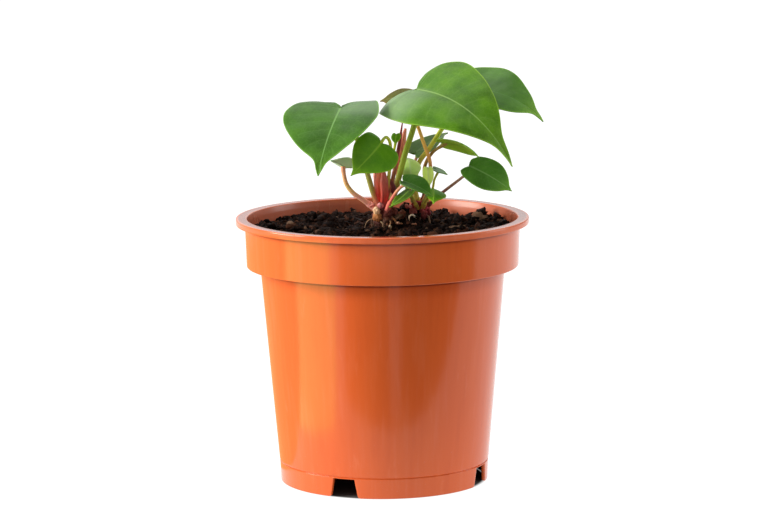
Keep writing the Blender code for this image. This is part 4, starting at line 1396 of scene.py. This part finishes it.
# Its underside is painted bright: painted light standing in for the light that comes through the shaded
# underside.
ARCHED_GREEN = LeafFinish(
    "arched_blade_green", Slot.LEAF_DEEP, (0.105, 0.36, 0.006), (0.17, 0.48, 0.012), (0.16, 0.36, 0.06),
    (0.3, 0.56, 0.04), (0.42, 0.66, 0.06))
LOW_GREEN = LeafFinish(
    "low_blade_green", Slot.LEAF_FRESH, (0.028, 0.085, 0.002), (0.06, 0.16, 0.005), (0.3, 0.52, 0.06),
    (0.34, 0.6, 0.04), (0.16, 0.32, 0.04))
BRONZE = LeafFinish(
    "bronze_blade", Slot.LEAF_BRONZE, (0.085, 0.085, 0.008), (0.14, 0.15, 0.02), (0.24, 0.24, 0.06),
    (0.2, 0.1, 0.02), (0.1, 0.08, 0.015), tip_glow=0.1, shine=0.1)

OLIVE = StalkFinish(
    "olive_stalk", Slot.STALK_GREEN, (0.34, 0.2, 0.04), (0.33, 0.43, 0.02), (0.3, 0.43, 0.01),
    (0.18, 0.2, 0.01), (0.1, 0.3))
LEFT_OLIVE = StalkFinish(
    "left_olive_stalk", Slot.STALK_GREEN, (0.6, 0.18, 0.1), (0.38, 0.36, 0.07), (0.34, 0.42, 0.05),
    (0.18, 0.17, 0.03), (0.02, 0.16))
YELLOW = StalkFinish(
    "yellow_stalk", Slot.STALK_GREEN, (0.6, 0.48, 0.08), (0.62, 0.66, 0.05), (0.5, 0.62, 0.03),
    (0.3, 0.34, 0.03))
PALE_STALK = StalkFinish(
    "pale_stalk", Slot.STALK_GREEN, (0.5, 0.42, 0.14), (0.52, 0.66, 0.18), (0.52, 0.7, 0.2),
    (0.36, 0.44, 0.1))
TAN = StalkFinish(
    "tan_stalk", Slot.STALK_TAN, (0.66, 0.24, 0.1), (0.96, 0.56, 0.11), (0.92, 0.52, 0.08),
    (0.62, 0.22, 0.05))
ROSE = StalkFinish(
    "rose_stalk", Slot.STALK_ROSE, (0.85, 0.2, 0.15), (0.8, 0.34, 0.18), (0.8, 0.36, 0.24),
    (0.56, 0.1, 0.07))
LOW_LEFT_ROSE = StalkFinish(
    "low_left_rose_stalk", Slot.STALK_ROSE, (0.92, 0.4, 0.32), (0.74, 0.48, 0.16), (0.88, 0.36, 0.24),
    (0.8, 0.66, 0.18))
SALMON = StalkFinish(
    "salmon_sheath", Slot.STALK_ROSE, (0.62, 0.08, 0.06), (0.92, 0.24, 0.17), (0.95, 0.36, 0.24),
    (0.34, 0.02, 0.02))
CRIMSON = StalkFinish(
    "crimson_sheath", Slot.STALK_ROSE, (0.58, 0.07, 0.05), (0.56, 0.1, 0.07), (0.5, 0.1, 0.07),
    (0.12, 0.012, 0.012))
WINE = StalkFinish(
    "wine_sheath", Slot.STALK_BROWN, (0.46, 0.16, 0.1), (0.24, 0.03, 0.035), (0.4, 0.06, 0.06),
    (0.09, 0.012, 0.014), (0.42, 0.6))
DARK_WINE = StalkFinish(
    "dark_wine_sheath", Slot.STALK_BROWN, (0.14, 0.012, 0.014), (0.16, 0.016, 0.018), (0.2, 0.03, 0.03),
    (0.04, 0.006, 0.007))
BROWN = StalkFinish(
    "brown_stalk", Slot.STALK_BROWN, (0.28, 0.08, 0.05), (0.42, 0.22, 0.14), (0.48, 0.28, 0.18),
    (0.16, 0.05, 0.035))
ARCHED_BROWN = StalkFinish(
    "arched_brown_stalk", Slot.STALK_BROWN, (0.28, 0.1, 0.04), (0.36, 0.2, 0.05), (0.42, 0.3, 0.07),
    (0.18, 0.08, 0.03))

BLADES = (
    Blade("left", (-16.6, -1.0, 153.4), -110, 30, -4, 35.5, (18.0, 22.5), (6.5, 6.5), LEFT_GREEN, droop=34,
          taper=1.3, fold=(11, 3), curl=(4, 11), lift=(-30, -45), tip=0.6, rows=128, columns=36),
    Blade("top", (14.6, 2.0, 160.4), -42, 2, 21, 58.0, (21.5, 20.5), (3.5, 12.5), TOP_GREEN, droop=66,
          sweep=17, taper=1.5, fold=(9, 7), curl=(0, 38), lift=(-20, -36), tip=0.7, rows=160, columns=40),
    Blade("rear", (34.8, 12.0, 159.9), -20, 2, 17, 36.0, (18.5, 16.5), (8.0, 8.0), REAR_GREEN, droop=49,
          fold=(2, 9), curl=(-12, 17), lift=(10, 10), tip=0.65, rows=128, columns=34),
    Blade("bronze", (10.4, 10.0, 156.6), 168, 4, -29, 11.5, (6.5, 6.0), (3.0, 3.0), BRONZE, droop=15),
    Blade("front", (-0.5, -9.0, 139.7), -126, 32, -38, 20.0, (10.3, 8.6), (3.8, 3.8), FRESH_GREEN, droop=19,
          sweep=11, fold=(-4, 7), curl=(15, 9), lift=(-37, -43), rows=110, columns=28),
    Blade("low_left", (-15.3, 2.0, 129.2), -128, -30, 9, 9.8, (5.2, 5.0), (3.0, 3.0), GREY_GREEN, droop=21,
          taper=1.0, fold=(23, 16), curl=(0, 0), lift=(-10, 0)),
    Blade("bud", (6.0, 6.0, 141.4), -105, 55, 0, 4.0, (2.0, 2.0), (1.0, 1.0), FRESH_GREEN, rows=48,
          columns=12),
    Blade("shade", (14.3, 18.5, 132.5), 40, -30, -3, 19.5, (6.6, 7.7), (3.0, 3.0), SHADE_GREEN, droop=22,
          sweep=-6, taper=1.2, fold=(14, 5), curl=(-9, 4), lift=(60, -8)),
    Blade("arched", (25.6, 10.0, 137.9), -22, -3, -26, 17.5, (6.8, 6.6), (2.6, 2.6), ARCHED_GREEN, droop=52,
          sweep=-9, taper=0.6, fold=(0, -2), curl=(30, 9), lift=(7, -30)),
    Blade("right", (36.2, 2.0, 128.7), -29, 19, 25, 21.0, (7.6, 7.4), (2.6, 2.6), DEEP_GREEN, droop=13,
          sweep=6, taper=0.75, fold=(18, -4), curl=(0, 17), lift=(70, -15), rows=110, columns=28),
    Blade("curled", (11.0, 8.6, 131.2), -84, 14, 4, 12.6, (5.2, 4.9), (2.4, 2.4), CURLED_GREEN, droop=165,
          taper=0.8, fold=(-12, -10), curl=(34, 40), lift=(-40, -45), tip=1.0),
    Blade("pale", (18.8, 2.6, 127.6), -80, 68, 0, 7.6, (2.5, 2.3), (1.4, 1.4), PALE_GREEN, droop=8,
          fold=(-10, -10), curl=(20, 20), rows=64, columns=16),
    Blade("slim", (22.2, 13.0, 126.2), -18, 23, 1, 5.4, (3.5, 3.4), (2.0, 2.0), DEEP_GREEN, droop=-8,
          rows=64, columns=16),
    Blade("low_front", (9.2, -5.0, 123.5), -21, 15, 22, 13.4, (5.8, 5.4), (2.4, 2.4), DEEP_GREEN, droop=25,
          taper=0.8, fold=(17, 22), curl=(7, 6), lift=(27, 60)),
    Blade("low_bright", (10.7, -4.5, 119.3), -144, 34, 0, 11.0, (4.3, 4.0), (2.0, 2.0), LOW_GREEN, droop=-13,
          fold=(7, 8), curl=(3, 11)),
    Blade("folded", (20.8, -2.0, 120.0), -87, 12, -3, 11.2, (5.7, 3.6), (2.0, 2.0), FRESH_GREEN, droop=29,
          sweep=5, taper=1.2, fold=(-11, -12), curl=(17, 31), lift=(-45, -13)),
)

STALKS = stalks_of("crown", 7.0, (
    ("left", ((0.0, 4.5, 109), (-3.4, 2.6, 117.5), (-5.3, 1.6, 124), (-8.2, 0.6, 135), (-12.6, -0.2, 147)),
     (1.15, 0.85), LEFT_OLIVE),
    ("low_left", ((0.0, 4.5, 109.6), (-4.8, 4.0, 113), (-8.0, 3.0, 115.4), (-12.0, 2.2, 118.4),
     (-14.8, 2.0, 122.6)), (1.15, 0.8), LOW_LEFT_ROSE),
    ("front", ((0.6, 4.5, 109), (1.7, 1.2, 117), (2.9, -0.6, 126), (3.5, -1.6, 135), (3.3, -3.0, 139.8),
     (1.5, -5.4, 142.0)), (0.8, 0.62), YELLOW),
    ("top", ((1.2, 5.2, 109), (4.6, 4.0, 117), (7.0, 3.2, 125), (9.6, 3.0, 134.5), (12.6, 3.0, 143.5),
     (15.0, 2.6, 152.5)), (1.35, 1.1), OLIVE),
    ("low_front", ((1.4, 2.4, 109.5), (3.6, -1.4, 115.4), (7.0, -4.2, 120.8)), (0.8, 0.6), ROSE),
    ("sheath_rose", ((0.2, 6.5, 109), (-1.2, 6.4, 118), (-1.7, 6.2, 129.0)), (1.7, 2.2), SALMON,
     ((((0.6, 3.4, 113.2), (1.1, -0.4, 117.6), (0.6, -2.0, 128.6)), (1.8, 1.8), CRIMSON),
     (((-0.8, 3.8, 113.0), (-1.7, 2.8, 117.6), (-2.3, 2.0, 128.0)), (1.4, 1.4), SALMON))),
    ("sheath_brown", ((1.8, 2.8, 110), (4.3, 1.5, 116.4), (4.5, 1.8, 119.6), (0.8, 3.0, 126.6)), (0.6, 0.35),
     WINE, ((((4.6, 0.6, 117.8), (4.7, 0.4, 120.6), (3.2, 0.0, 124.6)), (1.5, 0.4), DARK_WINE),)),
    ("sheath_dark", ((1.4, 6.4, 109), (3.3, 7.0, 118), (5.0, 7.8, 126), (6.9, 8.0, 136), (8.8, 8.0, 148)),
     (0.95, 0.6), WINE),
    ("sheath_pink", ((2.2, 7.6, 109), (6.2, 10.4, 119), (7.0, 10.6, 128), (8.2, 10.2, 136),
     (9.8, 9.6, 143.8)), (0.75, 1.9), SALMON),
    ("bud", ((0.8, 8.0, 109), (1.4, 10.2, 118), (3.8, 8.8, 129), (5.6, 6.8, 138)), (0.7, 0.5), YELLOW),
)) + stalks_of("side_crown", 5.0, (
    ("rear", ((15.2, 10.0, 110), (13.6, 12.6, 119), (15.0, 11.8, 128.6), (20.0, 11.0, 136),
     (28.0, 12.0, 148)), (1.1, 0.85), YELLOW),
    ("bronze", ((15.8, 9.6, 110), (18.8, 9.4, 119), (19.9, 8.2, 129), (17.4, 7.6, 137.4), (13.6, 8.4, 148)),
     (0.8, 0.7), TAN),
    ("shade", ((14.6, 10.8, 110), (11.0, 16.0, 119.6), (12.8, 18.4, 126.6)), (0.8, 0.6), BROWN),
    ("arched", ((16.0, 10.4, 110), (17.8, 14.4, 119), (17.6, 14.6, 127), (21.0, 12.0, 133.6)), (0.9, 0.65),
     ARCHED_BROWN),
    ("right", ((16.2, 9.2, 110), (20.6, 7.6, 113.6), (25.0, 6.0, 117.8), (31.6, 3.6, 123.2)), (0.75, 0.55),
     BROWN),
    ("slim", ((16.6, 10.4, 110), (20.6, 13.2, 117.6), (21.6, 13.4, 122)), (0.6, 0.45), YELLOW),
    ("pale", ((16.0, 8.8, 110), (18.2, 5.0, 117.4), (18.8, 3.2, 123)), (0.6, 0.5), PALE_STALK),
    ("curled", ((14.4, 8.8, 110), (11.6, 8.0, 116.4), (10.0, 7.8, 121)), (0.8, 0.6), PALE_STALK),
    ("folded", ((16.0, 8.2, 110), (18.4, 3.2, 115.4), (20.2, -0.6, 118.4)), (0.7, 0.5), YELLOW),
    ("low_bright", ((14.8, 8.2, 110), (12.8, 2.0, 115.6), (11.6, -2.4, 118.0)), (0.65, 0.5), YELLOW),
))

CREAM = (0.56, 0.36, 0.2)
RUST = (0.42, 0.16, 0.05)
ROOT_TAN = (0.36, 0.2, 0.11)
ROOT_DARK = (0.12, 0.055, 0.03)

# The pink node at (-0.7, 0.7, 113.2) is red at its foot and pale pink at its top: its own colour with a
# painted highlight on top.
CROWN_LUMPS = (
    ((-2.3, 0.9, 111.0), (1.35, 1.2, 1.9), (0.62, 0.33, 0.14), (0.84, 0.56, 0.35)),
    ((-2.0, 1.1, 108.2), (1.9, 1.6, 1.8), (0.36, 0.11, 0.03), (0.52, 0.21, 0.065)),
    ((-0.7, 0.7, 113.2), (1.2, 0.9, 1.2), (0.4, 0.06, 0.08), (0.88, 0.4, 0.4)),
    ((0.9, 1.6, 113.4), (1.6, 1.1, 1.5), (0.26, 0.03, 0.03), (0.5, 0.08, 0.07)),
    ((-4.2, 3.4, 113.0), (1.5, 1.1, 1.1), (0.62, 0.12, 0.1), (0.9, 0.4, 0.34)),
    ((2.2, 1.4, 110.4), (1.7, 1.3, 2.4), (0.07, 0.014, 0.008), (0.2, 0.03, 0.02)),
    ((1.6, 0.8, 106.4), (1.9, 1.5, 2.2), (0.03, 0.01, 0.006), (0.12, 0.035, 0.016)),
    ((4.0, 2.4, 105.8), (1.8, 1.4, 2.4), (0.05, 0.018, 0.008), (0.2, 0.06, 0.03)),
    ((4.8, 2.6, 110.2), (1.5, 1.2, 1.9), (0.1, 0.026, 0.014), (0.24, 0.05, 0.03)),
    ((6.6, 3.4, 108.6), (1.4, 1.1, 1.7), (0.12, 0.036, 0.018), (0.3, 0.09, 0.05)),
    ((3.2, -1.5, 104.7), (0.6, 0.5, 0.9), (0.56, 0.34, 0.18), (0.84, 0.62, 0.4)),
    ((6.4, -0.3, 106.0), (0.7, 0.5, 0.6), (0.4, 0.14, 0.07), (0.74, 0.4, 0.26)),
    ((7.6, 0.0, 105.7), (0.8, 0.5, 0.4), (0.34, 0.11, 0.05), (0.62, 0.3, 0.18)),
)
CROWN_ROOTS = (
    (((-2.0, 4.4, 107.5), (-4.2, 4.2, 106.4), (-3.6, 4.4, 101.5)), (0.7, 0.4), ROOT_DARK, ROOT_DARK),
    (((0.0, 2.0, 108.0), (0.9, 0.2, 106.6), (0.8, 1.2, 101.5)), (0.8, 0.5), ROOT_DARK, ROOT_TAN),
    (((2.4, 2.4, 108.5), (4.6, 2.0, 107.0), (3.6, 2.8, 101.5)), (0.8, 0.5), ROOT_DARK, ROOT_TAN),
    (((-3.2, 2.2, 107.4), (-5.4, 1.6, 107.2), (-6.8, 1.0, 105.6), (-7.4, 0.2, 103.0)), (0.16, 0.09), CREAM,
     ROOT_TAN),
    (((2.0, 0.4, 107.8), (3.4, -0.6, 106.6), (3.0, -1.2, 104.8), (3.8, -1.6, 102.6)), (0.36, 0.2), ROOT_TAN,
     RUST),
    (((4.6, 1.4, 107.6), (5.6, 0.2, 106.0), (5.0, -0.4, 103.2)), (0.45, 0.25), RUST, ROOT_DARK),
    (((1.0, 0.2, 106.2), (2.2, -1.0, 105.2), (1.8, -1.8, 103.0)), (0.5, 0.3), (0.26, 0.08, 0.03), ROOT_DARK),
    (((-0.6, 0.2, 106.6), (0.1, -1.2, 105.8), (0.4, -1.4, 102.6)), (0.24, 0.16), CREAM, ROOT_TAN),
)
# The two small lumps at (10.0, 5.6) and (11.6, 4.8) are red with pale pink tops: red tissue with painted
# highlights.
SIDE_CROWN_LUMPS = (
    ((13.6, 7.6, 111.4), (1.9, 1.6, 2.4), (0.24, 0.02, 0.025), (0.55, 0.05, 0.06)),
    ((17.4, 8.0, 110.8), (1.9, 1.6, 2.6), (0.28, 0.025, 0.04), (0.55, 0.06, 0.09)),
    ((10.0, 5.6, 112.2), (0.8, 0.7, 1.0), (0.4, 0.05, 0.05), (0.72, 0.24, 0.2)),
    ((11.6, 4.8, 112.0), (0.8, 0.7, 0.8), (0.4, 0.06, 0.06), (0.8, 0.34, 0.32)),
    ((8.4, 4.2, 108.4), (1.7, 1.3, 2.4), (0.09, 0.028, 0.014), (0.26, 0.075, 0.04)),
    ((10.6, 3.8, 107.6), (1.4, 1.1, 2.2), (0.05, 0.016, 0.009), (0.2, 0.05, 0.028)),
    ((12.6, 4.4, 109.4), (1.7, 1.3, 2.2), (0.08, 0.016, 0.012), (0.26, 0.045, 0.034)),
    ((16.6, 5.8, 108.6), (2.0, 1.5, 2.2), (0.07, 0.014, 0.01), (0.3, 0.034, 0.034)),
    ((12.4, 0.5, 105.4), (0.8, 0.5, 0.4), (0.34, 0.11, 0.05), (0.62, 0.29, 0.17)),
    ((13.6, 0.8, 105.3), (0.6, 0.4, 0.5), (0.3, 0.09, 0.04), (0.54, 0.24, 0.14)),
)
SIDE_CROWN_ROOTS = (
    (((13.6, 3.4, 107.8), (12.4, 1.2, 109.1), (11.2, 1.0, 108.6), (10.7, 1.2, 106.0)), (0.4, 0.28),
     (0.9, 0.8, 0.66), CREAM),
    (((16.8, 8.0, 108.4), (19.0, 5.6, 107.4), (19.8, 5.0, 103.4)), (0.5, 0.35), ROOT_DARK, ROOT_TAN),
    (((14.8, 7.6, 108.8), (15.4, 4.0, 107.2), (14.8, 3.2, 103.6)), (0.45, 0.3), ROOT_DARK, ROOT_DARK),
    (((9.6, 5.6, 109.6), (7.4, 3.0, 108.6), (6.6, 2.4, 104.4)), (0.4, 0.28), ROOT_DARK, RUST),
)
CROWNS = (
    Crown("crown", (0.6, 5.0, 108.0), (4.6, 4.4, 6.2), lumps=CROWN_LUMPS, roots=CROWN_ROOTS),
    Crown("side_crown", (15.6, 9.5, 110.0), (3.6, 3.2, 3.6), body_high=(0.44, 0.03, 0.05),
          lumps=SIDE_CROWN_LUMPS, roots=SIDE_CROWN_ROOTS, seed=8),
)


# The studio


@dataclass
class Studio:
    """The pale floor, the soft lights and the camera at the photograph's angle."""

    distance: float = 1458.5
    pitch: float = 8.884
    roll: float = -0.456
    target: Place = (0.568, 0.0, 92.384)
    lens: float = 166.73
    floor_size: float = 30000.0
    glow_edge: float = 2.5
    sky_glow: float = 0.5

    def camera(self) -> None:
        """Puts the camera where it stands before the plant's front."""
        pitch, roll = math.radians(self.pitch), math.radians(self.roll)
        ahead = Vector((0, math.cos(pitch), -math.sin(pitch)))
        right, up = Vector((1, 0, 0)), Vector((0, math.sin(pitch), math.cos(pitch)))
        across = right * math.cos(roll) + up * math.sin(roll)
        above = up * math.cos(roll) - right * math.sin(roll)
        data = bpy.data.cameras.new("camera")
        data.lens = self.lens
        data.sensor_width = 36.0
        data.clip_start = 0.05
        data.clip_end = 60.0
        camera = bpy.data.objects.new("camera", data)
        matrix = (FRONT @ Matrix((across, above, -ahead)).transposed()).to_4x4()
        matrix.translation = seen(Vector(self.target) - ahead * self.distance)
        camera.matrix_world = matrix
        bpy.context.scene.collection.objects.link(camera)
        bpy.context.scene.camera = camera

    def sheet(self, name: str, corners: tuple[Pair, Pair, Pair, Pair], level: float, colour: float,
              glow: float, dark_radius: float = 0.0, tint: Colour = (1.0, 1.0, 1.0)) -> bpy.types.Object:
        """Lays a flat sheet.

        Args:
            name: its name.
            corners: its (right, away) corners: near left, near right, far left and far right.
            level: its height.
            colour: how much of the light it gives back.
            glow: how bright it is by itself.
            dark_radius: how far round the pot's middle it doesn't glow, which paints shade under the pot.
            tint: the colour of its glow.

        Returns:
            The sheet.
        """
        bm = bmesh.new()
        bmesh.ops.create_grid(bm, x_segments=1, y_segments=1, size=0.5)
        ends = [Vector(corner) for corner in corners]
        for vert in bm.verts:
            near = ends[0].lerp(ends[1], vert.co.x + 0.5)
            vert.co = seen((*near.lerp(ends[2].lerp(ends[3], vert.co.x + 0.5), vert.co.y + 0.5), level))
        mesh = bpy.data.meshes.new(name)
        bm.to_mesh(mesh)
        bm.free()
        paint = Paint(name)
        away = paint.node("VectorMath", {"operation": "LENGTH"}, {0: paint.place}, "Value") / MM
        lit = paint.mix(away.between(dark_radius, dark_radius + self.glow_edge), (0.0, 0.0, 0.0), tint)
        mesh.materials.append(paint.set(Base_Color=(colour, colour, colour), Roughness=0.9,
                                        Specular_IOR_Level=0.0, Emission_Color=lit, Emission_Strength=glow))
        plane = bpy.data.objects.new(name, mesh)
        bpy.context.scene.collection.objects.link(plane)
        return plane

    def floor(self) -> None:
        """Lays the pale floor, which paints shade under the pot, and the cards on it that only the pot's
        gloss shows, which paint its reflections.
        """
        half = self.floor_size / 2
        corners = ((-half, -half), (half, -half), (-half, half), (half, half))
        # Painted shade: the floor doesn't glow within 40.5 mm of the pot's middle, so it is dark through the
        # notches and shows a thin shadow at the foot.
        self.sheet("floor", corners, -0.1, 0.12, 1.02, 40.5)
        # Painted reflections: the dark card paints a dark reflection in the pot's front, the pale card a
        # highlight streak, and the warm and amber cards glowing reflections on its left side.
        cards = (
            self.sheet("dark_card", ((-240, -350), (500, -330), (-75, -112), (420, -58)), 0.4, 0.02, 0.0),
            self.sheet("pale_card", ((33, -338), (88, -328), (10.5, -107.5), (28, -104)), 0.6, 0.25, 0.3),
            self.sheet("warm_card", ((-470, -520), (-72, -76), (-700, -73), (-105, -11)), 0.8, 0.0, 3.3,
                       tint=(0.75, 1.0, 0.36)),
            self.sheet("amber_card", ((-700, -71), (-60, -6), (-180, 690), (-16, 60)), 0.8, 0.0, 1.0,
                       tint=(1.0, 0.6, 0.25)),
        )
        for card in cards:
            card.visible_camera = False
        for card in cards[2:]:
            card.visible_diffuse = False
            card.visible_shadow = False

    def lamp(self, name: str, place: Place, aim: Place, size: Pair, glow: float,
             colour: Colour = (1.0, 1.0, 1.0)) -> None:
        """Hangs one soft light.

        Args:
            name: its name.
            place: where it hangs.
            aim: the place that it faces.
            size: its width and height.
            glow: how bright its face is.
            colour: its colour.
        """
        data = bpy.data.lights.new(name, "AREA")
        data.color = colour
        data.shape = "RECTANGLE"
        data.size, data.size_y = size[0] * MM, size[1] * MM
        data.energy = glow * math.pi * data.size * data.size_y
        lamp = bpy.data.objects.new(name, data)
        lamp.location = seen(place)
        lamp.rotation_mode = "QUATERNION"
        lamp.rotation_quaternion = (seen(aim) - seen(place)).to_track_quat("-Z", "Y")
        bpy.context.scene.collection.objects.link(lamp)

    def lights(self) -> None:
        """Hangs the soft lights and sets the even light all round."""
        self.lamp("key_light", (-1060, -190, 400), (0, 0, 80), (600, 700), 15.1, (1.0, 0.96, 0.88))
        self.lamp("top_light", (-150, 350, 1100), (0, 0, 110), (900, 900), 1.9)
        self.lamp("right_light", (1000, 150, 420), (0, 0, 80), (500, 900), 2.6)
        self.lamp("back_light", (-250, 1300, 560), (0, 0, 150), (1500, 600), 0.8)
        world = bpy.data.worlds.new("studio")
        world.use_nodes = True
        sky = world.node_tree.nodes["Background"].inputs
        sky["Color"].default_value = (1.0, 1.0, 1.0, 1.0)
        sky["Strength"].default_value = self.sky_glow
        bpy.context.scene.world = world
        bpy.context.scene.view_settings.view_transform = "Standard"

    def build(self) -> None:
        """Sets up the whole studio."""
        self.camera()
        self.floor()
        self.lights()


def main() -> None:
    """Builds the studio and every piece of the plant in order."""
    logging.basicConfig(level=logging.INFO, format="%(message)s", stream=sys.stdout)
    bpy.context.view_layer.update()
    Studio().build()
    pot = NurseryPot()
    pot.build()
    PottingSoil(pot).build()
    blades = {blade.name: blade for blade in BLADES}
    bark = BarkFinish("crown_bark").material()
    for crown in CROWNS:
        crown.build(blades, bark)
    for stalk in STALKS:
        stalk.build(blades.get(stalk.name))
    for blade in BLADES:
        blade.build()


if __name__ == "__main__":
    main()
